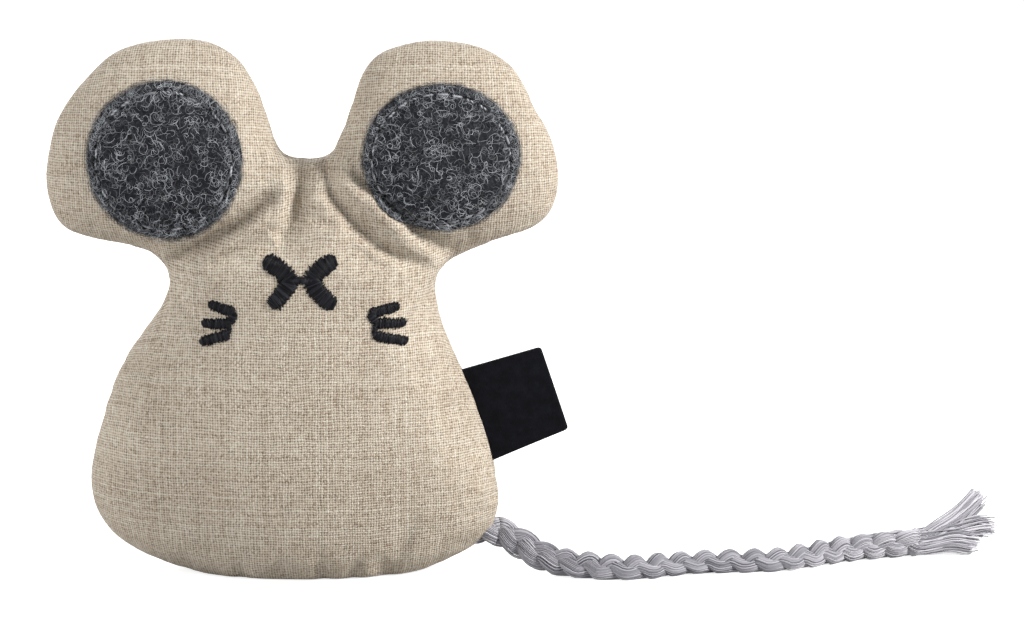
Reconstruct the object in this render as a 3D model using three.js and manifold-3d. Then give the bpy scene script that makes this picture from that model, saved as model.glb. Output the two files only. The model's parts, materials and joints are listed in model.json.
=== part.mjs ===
// Catnip mouse: a stuffed linen cat toy that stands on its flat underside. It has two round
// ears lined with felt, an embroidered nose and whiskers, a folded tape label sewn into the
// side seam, a pouch of catnip inside and a plaited cotton tail that lies on the floor.
// Millimetres. X runs to the viewer's right, Y to the back and Z up. The origin is the middle
// of the underside of the box round the stuffed toy, without its tail.
import * as THREE from "three";
import { mergeVertices } from "three/addons/utils/BufferGeometryUtils.js";
import Module from "manifold-3d";

const wasm = await Module();
wasm.setup();

// Cloth and the gap between neighbours
const LINEN_THICKNESS = 0.8;
const CLEARANCE = 0.3;

// Body, a pear-shaped pillow seen from the front
const BELLY_HALF_WIDTH = 50.8;
const BELLY_HEIGHT = 22;
const NECK_HALF_WIDTH = 33.2;
const NECK_HEIGHT = 76.2;
const CROWN_HALF_WIDTH = 3.5;
const CROWN_HEIGHT = 104.4;
const BODY_HALF_DEPTH = 24.5;
const FULLEST_HEIGHT = 38;
const UNDERSIDE_DROP = 6;
const HEAD_LEAN = 2;

// Ears, each a rounded pillow that bends along the seam between neck and crown
const EAR_HALF_WIDTH = 29.4;
const EAR_TIP_LENGTH = 22.8;
const EAR_MIDDLE = 26.8;
const EAR_DROOP = 1.6;
const EAR_TUCK = 12;
const EAR_HALF_DEPTH = 14;
const EAR_BEND = 25;

// Felt linings of the ears and the thread that sews them on
const FELT_RADIUS = 19.3;
const FELT_THICKNESS = 2.4;
const FELT_MIDDLE = 22.4;
const STITCH_INSET = 2.3;
const STITCH_DIAMETER = 0.6;
const STITCH_SINK = 0.5;
const FELT_EDGE = 0.7;

// Embroidered face
const THREAD_HEIGHT = 1;
const THREAD_EDGE = 0.3;
const NOSE_HEIGHT = 76.5;
const NOSE_HALF_WIDTH = 7.8;
const NOSE_HALF_HEIGHT = 5.6;
const NOSE_STROKE_WIDTH = 4.3;
const WHISKER_HEIGHT = 66.2;
const WHISKER_OFFSET = 17;
const WHISKER_LENGTH = 8.2;
const WHISKER_WIDTH = 2;
const WHISKER_GAP = 0.6;
const WHISKER_ROWS = { upper: 1, middle: 0, lower: -1 };
const WHISKER_ANGLES = { upper: 12, middle: -6, lower: -20 };

// Label, a tape folded in half with its two ends caught in the side seam
const LABEL_HEIGHT = 39.8;
const LABEL_LENGTH = 19.3;
const LABEL_WIDTH = 22;
const LABEL_PLY = 0.4;
const LABEL_FOLD_GAP = 0.4;

// Catnip pouch
const POUCH_HALF_WIDTH = 16;
const POUCH_HALF_DEPTH = 8;
const POUCH_HALF_HEIGHT = 18;

// Tail, whose inner end is caught in the side seam
const TAIL_HEIGHT = 11;
const TAIL_DIAMETER = 6;
const ANCHOR_DIAMETER = 5;
const ANCHOR_LENGTH = 12;
// Each point of the tail: along X from its root, its Y, and how far it is off the floor
const TAIL_ROUTE = [
  [4.5, -1.6, 4.6],
  [9.5, -4.4, 2.6],
  [14.5, -7, 1.4],
  [19.5, -9.3, 0.7],
  [25, -11, 0.1],
  [30, -11.8, 0.1],
  [35, -11.4, 0.1],
  [40, -9.2, 0.1],
  [45, -6.9, 0.1],
  [50, -5.4, 0.1],
  [55, -4.6, 0.1],
  [60, -4.2, 0.1],
  [65, -3.8, 0.1],
  [70.5, -2.7, 0.1],
  [76, -0.1, 0.1],
  [81, 2.8, 0.1],
  [86.5, 6.2, 0.1],
  [92, 8.8, 0.1],
  [97, 10.6, 0.1],
  [102, 12, 0.1],
  [107, 13.6, 0.1],
];
// Tips of the loose yarn bundles of the tuft, from the end of the plait
const TUFT_TIPS = [
  [18.5, 14.8, 8],
  [20.5, 10.8, 1.6],
  [15.5, 0.8, 0.2],
];
const TUFT_BUNDLE_RADIUS = 2.5;

// Roundness of the outlines: shares of the spans between an outline's own points
const UNDERSIDE_ROUNDNESS = 0.72;
const CORNER_ROUNDNESS = 0.55;
const BELLY_ROUNDNESS = 0.55;
const LEFT_WAIST_ROUNDNESS = 0.16;
const RIGHT_WAIST_ROUNDNESS = 0.45;
const CHEEK_ROUNDNESS = 0.6;
const BROW_ROUNDNESS = 0.5;
const PILLOW_FULLNESS = 0.55;

// Spindle of a yarn bundle: shares of its radius and of its length
const BUNDLE_PROFILE = [
  [0, 0],
  [0.6, 0],
  [1, 0.35],
  [0.9, 0.8],
  [0.5, 1],
  [0, 1],
];

// Fineness of the facets
const BODY_SIDES = 48;
const BODY_RINGS = 6;
const EAR_TIP_SIDES = 16;
const EAR_FLARE_SIDES = 5;
const EAR_TUCK_SIDES = 6;
const EAR_RINGS = 5;
const FELT_SIDES = 26;
const FELT_RING_SHARES = [0.3, 0.6];
const STITCH_SIDES = 6;
const STROKE_STEPS = 8;
const STROKE_END_STEPS = 5;
const FOLD_STEPS = 6;
const POUCH_SIDES = 16;
const POUCH_RINGS = 10;
const TAIL_SIDES = 10;
const TAIL_STEP_DIAMETERS = 1.5;
const TUFT_SIDES = 8;
const BALL_RINGS = 6;

// Signs of X on the two sides of the toy
const SIDES = { left: -1, right: 1 };

// A block wider than any piece, for cutting
const FAR = 400;

// Points this close are one, and the share of a curve to which a place on it is found
const WELD_DISTANCE = 1e-4;
const SEARCH_SHARE = 1e-6;

const linen = new THREE.MeshStandardMaterial({ color: 0xb9ac98, roughness: 0.95, metalness: 0 });
const fibre = new THREE.MeshStandardMaterial({ color: 0xf2f0ea, roughness: 1, metalness: 0 });
const herb = new THREE.MeshStandardMaterial({ color: 0x76804f, roughness: 1, metalness: 0 });
const felt = new THREE.MeshStandardMaterial({ color: 0x484b50, roughness: 1, metalness: 0 });
const thread = new THREE.MeshStandardMaterial({ color: 0x1b1b1e, roughness: 0.5, metalness: 0 });
const tape = new THREE.MeshStandardMaterial({ color: 0x15171c, roughness: 0.6, metalness: 0 });
const sewing = new THREE.MeshStandardMaterial({ color: 0x4c4f54, roughness: 0.7, metalness: 0 });
const cotton = new THREE.MeshStandardMaterial({ color: 0xaaa9b0, roughness: 0.9, metalness: 0 });

// Solids

function toSolid(geometry) {
  const bare = new THREE.BufferGeometry();
  bare.setAttribute("position", geometry.attributes.position.clone());
  bare.setIndex(geometry.index);
  const merged = mergeVertices(bare, WELD_DISTANCE);
  return new wasm.Manifold(new wasm.Mesh({
    numProp: 3,
    vertProperties: new Float32Array(merged.attributes.position.array),
    triVerts: new Uint32Array(merged.index.array),
  }));
}

function toGeometry(solid) {
  const mesh = solid.getMesh();
  const geometry = new THREE.BufferGeometry();
  geometry.setAttribute("position", new THREE.BufferAttribute(mesh.vertProperties, 3));
  geometry.setIndex(new THREE.BufferAttribute(mesh.triVerts, 1));
  geometry.computeVertexNormals();
  return geometry;
}

function addNode(group, name, shape, material) {
  const geometry = shape.isBufferGeometry ? shape : toGeometry(shape);
  const mesh = new THREE.Mesh(geometry, material);
  mesh.name = name;
  group.add(mesh);
  return mesh;
}

// A prism along X whose section is a list of [y, z] points
function prismAlongX(section, length) {
  const shape = new THREE.Shape(section.map(([y, z]) => new THREE.Vector2(y, z)));
  const geometry = new THREE.ExtrudeGeometry(shape, { depth: length, bevelEnabled: false });
  geometry.translate(0, 0, -length / 2);
  const turn = new THREE.Matrix4().makeBasis(
    new THREE.Vector3(0, 1, 0),
    new THREE.Vector3(0, 0, 1),
    new THREE.Vector3(1, 0, 0),
  );
  return geometry.applyMatrix4(turn);
}

function blockBetween(low, high) {
  const size = high.clone().sub(low);
  const middle = low.clone().add(high).multiplyScalar(0.5);
  return toSolid(new THREE.BoxGeometry(size.x, size.y, size.z).translate(middle.x, middle.y, middle.z));
}

const frontHalf = blockBetween(
  new THREE.Vector3(-FAR, -FAR, -FAR),
  new THREE.Vector3(FAR, -CLEARANCE / 2, FAR),
);
const backHalf = blockBetween(
  new THREE.Vector3(-FAR, CLEARANCE / 2, -FAR),
  new THREE.Vector3(FAR, FAR, FAR),
);

// Pillows: an outline in the seam plane that swells to its half depth at its middle

function inset(outline, distance) {
  const count = outline.length;
  return outline.map((point, i) => {
    const before = outline[(i + count - 1) % count];
    const after = outline[(i + 1) % count];
    const along = after.clone().sub(before).normalize();
    return new THREE.Vector2(point.x - along.y * distance, point.y + along.x * distance);
  });
}

// How far out a point lies, as a share of the way from the pillow's middle to its outline
function shareOut(pillow, x, z) {
  const out = new THREE.Vector2(x - pillow.middle.x, z - pillow.middle.y);
  const count = pillow.outline.length;
  for (let i = 0; i < count; i += 1) {
    const a = pillow.outline[i].clone().sub(pillow.middle);
    const edge = pillow.outline[(i + 1) % count].clone().sub(pillow.middle).sub(a);
    const across = a.cross(edge);
    const onEdge = -out.cross(a) / out.cross(edge);
    const share = out.cross(edge) / across;
    if (share > 0 && onEdge >= 0 && onEdge <= 1) {
      return share;
    }
  }
  return 0;
}

function depthAt(pillow, x, z) {
  const share = Math.min(1, shareOut(pillow, x, z));
  return pillow.halfDepth * (1 - share * share) ** PILLOW_FULLNESS;
}

function pillowSolid(pillow, thinner) {
  const outline = inset(pillow.outline, thinner);
  const halfDepth = pillow.halfDepth - thinner;
  const count = outline.length;
  const points = [];
  const faces = [];
  const middle = pillow.middle;
  points.push(middle.x, -halfDepth, middle.y);
  const lastRing = 2 * pillow.rings - 1;
  for (let ring = 1; ring <= lastRing; ring += 1) {
    const turn = (Math.PI / 2) * (ring / pillow.rings);
    const share = Math.sin(turn);
    const swell = ring === pillow.rings ? 0 : (1 - share * share) ** PILLOW_FULLNESS;
    const y = -Math.sign(Math.cos(turn)) * halfDepth * swell;
    for (const point of outline) {
      points.push(middle.x + share * (point.x - middle.x), y, middle.y + share * (point.y - middle.y));
    }
  }
  points.push(middle.x, halfDepth, middle.y);
  const back = points.length / 3 - 1;
  for (let i = 0; i < count; i += 1) {
    const next = (i + 1) % count;
    faces.push(0, 1 + i, 1 + next);
    for (let ring = 1; ring < lastRing; ring += 1) {
      const near = 1 + (ring - 1) * count;
      const far = near + count;
      faces.push(near + i, far + i, far + next, near + i, far + next, near + next);
    }
    const rim = 1 + (lastRing - 1) * count;
    faces.push(back, rim + next, rim + i);
  }
  const geometry = new THREE.BufferGeometry();
  geometry.setAttribute("position", new THREE.BufferAttribute(new Float32Array(points), 3));
  geometry.setIndex(faces);
  return toSolid(geometry);
}

// A sewn pillow: a front and a back panel of cloth that meet at the seam, and the filling
function sewnPillow(pillow, trim) {
  const inner = LINEN_THICKNESS;
  const core = LINEN_THICKNESS + CLEARANCE;
  const cloth = trim(pillowSolid(pillow, 0), 0).subtract(trim(pillowSolid(pillow, inner), inner));
  return {
    front: cloth.intersect(frontHalf),
    back: cloth.intersect(backHalf),
    filling: trim(pillowSolid(pillow, core), core),
  };
}

// Moves a flat piece, modelled on the plane y = 0, onto the front of a pillow
function drapeOnFront(geometry, pillow) {
  const position = geometry.attributes.position;
  for (let i = 0; i < position.count; i += 1) {
    const depth = depthAt(pillow, position.getX(i), position.getZ(i));
    position.setY(i, position.getY(i) - depth - CLEARANCE);
  }
  geometry.computeVertexNormals();
  return geometry;
}

// Outline of the body

const lowerSpan = BELLY_HEIGHT + UNDERSIDE_DROP;
const waistSpan = NECK_HEIGHT - BELLY_HEIGHT;
const cheekSpan = CROWN_HEIGHT - NECK_HEIGHT;

function bodyCurves(side) {
  const belly = new THREE.Vector2(side * BELLY_HALF_WIDTH, BELLY_HEIGHT);
  const neck = new THREE.Vector2(HEAD_LEAN + side * NECK_HALF_WIDTH, NECK_HEIGHT);
  const bottom = new THREE.Vector2(0, -UNDERSIDE_DROP);
  const crown = new THREE.Vector2(HEAD_LEAN, CROWN_HEIGHT);
  const waistRoundness = side > 0 ? RIGHT_WAIST_ROUNDNESS : LEFT_WAIST_ROUNDNESS;
  return [
    new THREE.CubicBezierCurve(
      bottom,
      new THREE.Vector2(side * UNDERSIDE_ROUNDNESS * BELLY_HALF_WIDTH, -UNDERSIDE_DROP),
      new THREE.Vector2(belly.x, BELLY_HEIGHT - CORNER_ROUNDNESS * lowerSpan),
      belly,
    ),
    new THREE.CubicBezierCurve(
      belly,
      new THREE.Vector2(belly.x, BELLY_HEIGHT + BELLY_ROUNDNESS * waistSpan),
      new THREE.Vector2(neck.x, NECK_HEIGHT - waistRoundness * waistSpan),
      neck,
    ),
    new THREE.CubicBezierCurve(
      neck,
      new THREE.Vector2(neck.x, NECK_HEIGHT + CHEEK_ROUNDNESS * cheekSpan),
      new THREE.Vector2(HEAD_LEAN + side * BROW_ROUNDNESS * NECK_HALF_WIDTH, CROWN_HEIGHT),
      crown,
    ),
  ];
}

function spaced(curves, count) {
  const path = new THREE.CurvePath();
  curves.forEach((curve) => path.add(curve));
  return path.getSpacedPoints(count);
}

const rightSide = bodyCurves(SIDES.right);
const leftSide = spaced(bodyCurves(SIDES.left), BODY_SIDES / 2).reverse();
const bodyPillow = {
  outline: [...spaced(rightSide, BODY_SIDES / 2).slice(0, -1), ...leftSide.slice(0, -1)],
  middle: new THREE.Vector2(0, FULLEST_HEIGHT),
  halfDepth: BODY_HALF_DEPTH,
  rings: BODY_RINGS,
};

// Ears: local Z points out of the head, local X runs along the neck seam

const seamLength = Math.hypot(NECK_HALF_WIDTH - CROWN_HALF_WIDTH, CROWN_HEIGHT - NECK_HEIGHT);
const earTilt = Math.atan2(CROWN_HEIGHT - NECK_HEIGHT, NECK_HALF_WIDTH - CROWN_HALF_WIDTH);
const bendSlope = Math.tan(THREE.MathUtils.degToRad(EAR_BEND / 2));

// Half an ellipse at the tip, a flare down to the neck seam and a rounded end tucked inside it.
// Away from the seam the ear droops, towards the neck
function earOutline(droop) {
  const tip = [];
  const seamHalf = seamLength / 2;
  for (let i = 0; i <= EAR_TIP_SIDES; i += 1) {
    const turn = (Math.PI * i) / EAR_TIP_SIDES;
    const x = droop + EAR_HALF_WIDTH * Math.cos(turn);
    tip.push(new THREE.Vector2(x, EAR_MIDDLE + EAR_TIP_LENGTH * Math.sin(turn)));
  }
  const flareSide = (side) => {
    const points = [];
    for (let i = 1; i <= EAR_FLARE_SIDES; i += 1) {
      const share = i / EAR_FLARE_SIDES;
      const wide = (1 + Math.cos(Math.PI * share)) / 2;
      const x = side * (seamHalf + (EAR_HALF_WIDTH - seamHalf) * wide) + droop * wide;
      points.push(new THREE.Vector2(x, EAR_MIDDLE * (1 - share)));
    }
    return points;
  };
  const tuck = [];
  for (let i = 1; i < EAR_TUCK_SIDES; i += 1) {
    const turn = (Math.PI * i) / EAR_TUCK_SIDES;
    tuck.push(new THREE.Vector2(-seamHalf * Math.cos(turn), -EAR_TUCK * Math.sin(turn)));
  }
  return [...tip, ...flareSide(-1), ...tuck, ...flareSide(1).reverse()];
}

function earPillow(side) {
  const droop = side * EAR_DROOP;
  return {
    outline: earOutline(droop),
    middle: new THREE.Vector2(droop, EAR_MIDDLE),
    halfDepth: EAR_HALF_DEPTH,
    rings: EAR_RINGS,
  };
}

function earGroup(side) {
  const group = new THREE.Group();
  const x = HEAD_LEAN + (side * (NECK_HALF_WIDTH + CROWN_HALF_WIDTH)) / 2;
  group.position.set(x, 0, (NECK_HEIGHT + CROWN_HEIGHT) / 2);
  group.rotation.y = side * earTilt;
  group.updateMatrix();
  return group;
}

// The V-shaped crease where ear and head fold against each other: each half opens by half
// of the ear's bend, so that the two faces meet when the ear is bent all the way
function creaseBlock(apex, slope) {
  const section = [
    [0, apex],
    [FAR, apex + slope * FAR],
    [FAR, 2 * FAR],
    [-FAR, 2 * FAR],
    [-FAR, apex + slope * FAR],
  ];
  return prismAlongX(section, 2 * (EAR_HALF_WIDTH + EAR_DROOP + CLEARANCE));
}

function trimEar(solid, wall) {
  return solid.intersect(toSolid(creaseBlock(CLEARANCE / 2 + wall, bendSlope)));
}

const ears = { left: earGroup(SIDES.left), right: earGroup(SIDES.right) };

function trimBody(solid, wall) {
  const aboveFloor = blockBetween(
    new THREE.Vector3(-FAR, -FAR, wall),
    new THREE.Vector3(FAR, FAR, FAR),
  );
  let trimmed = solid.intersect(aboveFloor);
  for (const group of Object.values(ears)) {
    const crease = creaseBlock(-CLEARANCE / 2 - wall, -bendSlope).applyMatrix4(group.matrix);
    trimmed = trimmed.subtract(toSolid(crease));
  }
  return trimmed;
}

// Places on the right side seam: local X points out of the seam, local Z runs up along it
function seamGroup(height) {
  const curve = height < BELLY_HEIGHT ? rightSide[0] : rightSide[1];
  let low = 0;
  let high = 1;
  while (high - low > SEARCH_SHARE) {
    const half = (low + high) / 2;
    if (curve.getPoint(half).y < height) {
      low = half;
    } else {
      high = half;
    }
  }
  const point = curve.getPoint(low);
  const along = curve.getTangent(low);
  const group = new THREE.Group();
  group.position.set(point.x, 0, point.y);
  group.rotation.y = Math.atan2(along.x, along.y);
  group.updateMatrix();
  return group;
}

const mouse = new THREE.Group();

// Body with its filling, the catnip pouch and the sewn-in end of the tail

const tailSeam = seamGroup(TAIL_HEIGHT);

function anchorShape(grow) {
  const geometry = new THREE.CylinderGeometry(
    ANCHOR_DIAMETER / 2 + grow,
    ANCHOR_DIAMETER / 2 + grow,
    ANCHOR_LENGTH + 2 * grow,
    TAIL_SIDES,
  );
  geometry.rotateZ(Math.PI / 2).translate(-ANCHOR_LENGTH / 2, 0, 0);
  return geometry;
}

function pouchShape(grow) {
  const geometry = new THREE.SphereGeometry(1, POUCH_SIDES, POUCH_RINGS);
  geometry.scale(POUCH_HALF_WIDTH + grow, POUCH_HALF_DEPTH + grow, POUCH_HALF_HEIGHT + grow);
  return geometry.translate(0, 0, FULLEST_HEIGHT);
}

const body = sewnPillow(bodyPillow, trimBody);
const anchorHole = toSolid(anchorShape(CLEARANCE).applyMatrix4(tailSeam.matrix));
const pouchHole = toSolid(pouchShape(CLEARANCE));
const bodyFilling = body.filling.subtract(anchorHole).subtract(pouchHole);
addNode(mouse, "body_front_panel", body.front.subtract(anchorHole), linen);
addNode(mouse, "body_back_panel", body.back.subtract(anchorHole), linen);
addNode(mouse, "body_filling_front", bodyFilling.intersect(frontHalf), fibre);
addNode(mouse, "body_filling_back", bodyFilling.intersect(backHalf), fibre);
addNode(mouse, "catnip_pouch", pouchShape(0), herb);
addNode(tailSeam, "tail_anchor", anchorShape(0), cotton);
mouse.add(tailSeam);

// Embroidery: each stroke is a band of satin stitch along a curve on the front of the body

function strokeShape(curve, width) {
  const outline = [];
  const edgePoint = (t, turn) => {
    const along = curve.getTangent(t).rotateAround(new THREE.Vector2(), turn);
    return curve.getPoint(t).addScaledVector(along, width / 2);
  };
  for (let i = 0; i <= STROKE_STEPS; i += 1) {
    outline.push(edgePoint(i / STROKE_STEPS, -Math.PI / 2));
  }
  for (let i = 1; i < STROKE_END_STEPS; i += 1) {
    outline.push(edgePoint(1, -Math.PI / 2 + (Math.PI * i) / STROKE_END_STEPS));
  }
  for (let i = STROKE_STEPS; i >= 0; i -= 1) {
    outline.push(edgePoint(i / STROKE_STEPS, Math.PI / 2));
  }
  for (let i = 1; i < STROKE_END_STEPS; i += 1) {
    outline.push(edgePoint(0, Math.PI / 2 + (Math.PI * i) / STROKE_END_STEPS));
  }
  return new THREE.Shape(outline);
}

function addStroke(name, curve, width) {
  const geometry = new THREE.ExtrudeGeometry(strokeShape(curve, width), {
    depth: THREAD_HEIGHT - 2 * THREAD_EDGE,
    bevelEnabled: true,
    bevelThickness: THREAD_EDGE,
    bevelSize: THREAD_EDGE,
    bevelOffset: -THREAD_EDGE,
    bevelSegments: 1,
  });
  geometry.translate(0, 0, THREAD_EDGE);
  geometry.rotateX(Math.PI / 2);
  addNode(mouse, name, drapeOnFront(geometry, bodyPillow), thread);
}

function noseCurve(side) {
  const innerEdge = (NOSE_STROKE_WIDTH + CLEARANCE) / 2;
  const tip = HEAD_LEAN + side * NOSE_HALF_WIDTH;
  // A quadratic curve passes halfway between its control point and the line of its ends
  const turn = 2 * (HEAD_LEAN + side * innerEdge) - tip;
  return new THREE.QuadraticBezierCurve(
    new THREE.Vector2(tip, NOSE_HEIGHT + NOSE_HALF_HEIGHT),
    new THREE.Vector2(turn, NOSE_HEIGHT),
    new THREE.Vector2(tip, NOSE_HEIGHT - NOSE_HALF_HEIGHT),
  );
}

function whiskerCurve(side, row) {
  const angle = THREE.MathUtils.degToRad(WHISKER_ANGLES[row]);
  const inner = new THREE.Vector2(
    HEAD_LEAN + side * WHISKER_OFFSET,
    WHISKER_HEIGHT + WHISKER_ROWS[row] * (WHISKER_WIDTH + WHISKER_GAP),
  );
  const run = WHISKER_LENGTH - WHISKER_WIDTH;
  const outer = new THREE.Vector2(
    inner.x + side * run * Math.cos(angle),
    inner.y + run * Math.sin(angle),
  );
  return new THREE.LineCurve(inner, outer);
}

for (const [name, side] of Object.entries(SIDES)) {
  addStroke(`nose_${name}_stroke`, noseCurve(side), NOSE_STROKE_WIDTH);
  for (const row of Object.keys(WHISKER_ROWS)) {
    addStroke(`whisker_${name}_${row}`, whiskerCurve(side, row), WHISKER_WIDTH);
  }
}

// Ears with their felt linings

const grooveRadius = STITCH_DIAMETER / 2 + CLEARANCE;
const stitchRadius = FELT_RADIUS - STITCH_INSET;

function feltDisc() {
  const top = -FELT_THICKNESS;
  const floor = top + STITCH_SINK + CLEARANCE;
  const inside = FELT_RING_SHARES.map((share) => share * FELT_RADIUS);
  const profile = [
    [0, top],
    ...inside.map((radius) => [radius, top]),
    [stitchRadius - grooveRadius, top],
    [stitchRadius - grooveRadius, floor],
    [stitchRadius + grooveRadius, floor],
    [stitchRadius + grooveRadius, top],
    [FELT_RADIUS - FELT_EDGE, top],
    [FELT_RADIUS, top / 2],
    [FELT_RADIUS - FELT_EDGE, 0],
    [stitchRadius, 0],
    ...inside.reverse().map((radius) => [radius, 0]),
    [0, 0],
  ];
  const points = profile.map(([r, y]) => new THREE.Vector2(r, y));
  return new THREE.LatheGeometry(points, FELT_SIDES).translate(0, 0, FELT_MIDDLE);
}

function stitchRing() {
  const ring = new THREE.TorusGeometry(stitchRadius, STITCH_DIAMETER / 2, STITCH_SIDES, FELT_SIDES);
  ring.rotateX(Math.PI / 2);
  const rise = -FELT_THICKNESS + STITCH_SINK - STITCH_DIAMETER / 2;
  return ring.translate(0, rise, FELT_MIDDLE);
}

for (const [name, side] of Object.entries(SIDES)) {
  const group = ears[name];
  const pillow = earPillow(side);
  const ear = sewnPillow(pillow, trimEar);
  addNode(group, `${name}_ear_front_panel`, ear.front, linen);
  addNode(group, `${name}_ear_back_panel`, ear.back, linen);
  addNode(group, `${name}_ear_filling`, ear.filling, fibre);
  addNode(group, `${name}_ear_felt`, drapeOnFront(feltDisc(), pillow), felt);
  addNode(group, `${name}_ear_felt_stitching`, drapeOnFront(stitchRing(), pillow), sewing);
  mouse.add(group);
}

// Label: two plies of tape with a round fold at the outer edge

function labelProfile() {
  const inner = LABEL_FOLD_GAP / 2;
  const outer = inner + LABEL_PLY;
  const fold = CLEARANCE + LABEL_LENGTH - outer;
  const shape = new THREE.Shape();
  shape.moveTo(CLEARANCE, -outer);
  shape.lineTo(fold, -outer);
  shape.absarc(fold, 0, outer, -Math.PI / 2, Math.PI / 2, false);
  shape.lineTo(CLEARANCE, outer);
  shape.lineTo(CLEARANCE, inner);
  shape.lineTo(fold, inner);
  shape.absarc(fold, 0, inner, Math.PI / 2, -Math.PI / 2, true);
  shape.lineTo(CLEARANCE, -inner);
  shape.closePath();
  return shape;
}

const labelSeam = seamGroup(LABEL_HEIGHT);
const labelTape = new THREE.ExtrudeGeometry(labelProfile(), {
  depth: LABEL_WIDTH,
  bevelEnabled: false,
  curveSegments: FOLD_STEPS,
});
addNode(labelSeam, "side_label", labelTape.translate(0, 0, -LABEL_WIDTH / 2), tape);
mouse.add(labelSeam);

// Frame: the middle of the underside of the box round everything but the tail

mouse.updateMatrixWorld(true);
const middleX = new THREE.Box3().setFromObject(mouse, true).getCenter(new THREE.Vector3()).x;

// Tail: a round root at the seam, the plait on the floor and a tuft of loose yarn

const tailRadius = TAIL_DIAMETER / 2;
const root = new THREE.Vector3(CLEARANCE + tailRadius, 0, 0).applyMatrix4(tailSeam.matrix);
const tailPoints = TAIL_ROUTE.map(([x, y, lift]) => new THREE.Vector3(root.x + x, y, tailRadius + lift));
const tailCurve = new THREE.CatmullRomCurve3([root, ...tailPoints], false, "centripetal");

function circleShape(radius, sides) {
  const points = [];
  for (let i = 0; i < sides; i += 1) {
    const turn = (2 * Math.PI * i) / sides;
    points.push(new THREE.Vector2(radius * Math.cos(turn), radius * Math.sin(turn)));
  }
  return new THREE.Shape(points);
}

function ballAt(middle, radius) {
  const geometry = new THREE.SphereGeometry(radius, TAIL_SIDES, BALL_RINGS);
  return toSolid(geometry.translate(middle.x, middle.y, middle.z));
}

function tailPlait() {
  const steps = Math.round(tailCurve.getLength() / (TAIL_STEP_DIAMETERS * TAIL_DIAMETER));
  const tube = new THREE.ExtrudeGeometry(circleShape(tailRadius, TAIL_SIDES), {
    steps,
    bevelEnabled: false,
    extrudePath: tailCurve,
  });
  return toSolid(tube).add(ballAt(root, tailRadius));
}

// A bundle of yarn: a spindle from the end of the plait to its tip
function tuftBundle(from, tip) {
  const out = tip.clone().sub(from);
  const length = out.length();
  const points = BUNDLE_PROFILE.map(([r, y]) => new THREE.Vector2(r * TUFT_BUNDLE_RADIUS, y * length));
  const geometry = new THREE.LatheGeometry(points, TUFT_SIDES);
  const turn = new THREE.Quaternion().setFromUnitVectors(new THREE.Vector3(0, 1, 0), out.normalize());
  geometry.applyQuaternion(turn);
  return toSolid(geometry.translate(from.x, from.y, from.z));
}

function tailTuft() {
  const end = tailCurve.getPoint(1);
  const middle = end.clone().addScaledVector(tailCurve.getTangent(1), CLEARANCE + TUFT_BUNDLE_RADIUS);
  let tuft = ballAt(middle, TUFT_BUNDLE_RADIUS);
  for (const [x, y, z] of TUFT_TIPS) {
    tuft = tuft.add(tuftBundle(middle, new THREE.Vector3(end.x + x, end.y + y, end.z + z)));
  }
  return tuft;
}

addNode(mouse, "tail_plait", tailPlait(), cotton);
addNode(mouse, "tail_tuft", tailTuft(), cotton);

mouse.position.x = -middleX;

export default mouse;
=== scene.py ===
"""Looks of the catnip mouse: linen skin, felt ears, embroidered face, tape label and plaited tail.

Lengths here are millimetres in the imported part's frame until a mesh is made. X runs to the viewer's
right, Y to the back and Z up.
"""

import json
import math

import bpy
import numpy as np
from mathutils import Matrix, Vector, noise as fields
from mathutils.bvhtree import BVHTree
from mathutils.geometry import delaunay_2d_cdt
from mathutils.kdtree import KDTree


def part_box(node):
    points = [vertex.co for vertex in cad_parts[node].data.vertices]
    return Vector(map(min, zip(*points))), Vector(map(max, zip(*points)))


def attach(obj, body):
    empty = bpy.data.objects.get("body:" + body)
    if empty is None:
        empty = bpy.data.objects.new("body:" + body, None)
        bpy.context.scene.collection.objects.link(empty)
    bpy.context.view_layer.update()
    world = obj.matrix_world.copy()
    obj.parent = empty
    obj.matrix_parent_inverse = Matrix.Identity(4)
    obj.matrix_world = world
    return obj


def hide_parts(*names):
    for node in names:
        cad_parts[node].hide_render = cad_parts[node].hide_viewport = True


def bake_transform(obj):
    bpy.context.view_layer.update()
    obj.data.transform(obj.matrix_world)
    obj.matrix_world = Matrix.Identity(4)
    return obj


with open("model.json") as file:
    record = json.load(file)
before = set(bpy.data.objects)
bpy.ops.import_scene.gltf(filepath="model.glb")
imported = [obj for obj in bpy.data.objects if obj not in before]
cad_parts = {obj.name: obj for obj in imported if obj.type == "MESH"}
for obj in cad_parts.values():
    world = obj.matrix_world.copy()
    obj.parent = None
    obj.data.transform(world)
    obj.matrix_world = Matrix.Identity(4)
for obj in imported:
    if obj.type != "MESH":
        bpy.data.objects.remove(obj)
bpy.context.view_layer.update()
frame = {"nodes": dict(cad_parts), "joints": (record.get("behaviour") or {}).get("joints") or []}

MM = 0.001
random = np.random.default_rng(7)

# Camera, as the photograph was taken
PHOTO_WIDTH = 1024
CAMERA_DISTANCE = 1000
CAMERA_ELEVATION = 10
CAMERA_TARGET = (50.26, 0, 63.05)
FOCAL_PIXELS = 4000
SENSOR_WIDTH = 36

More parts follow.
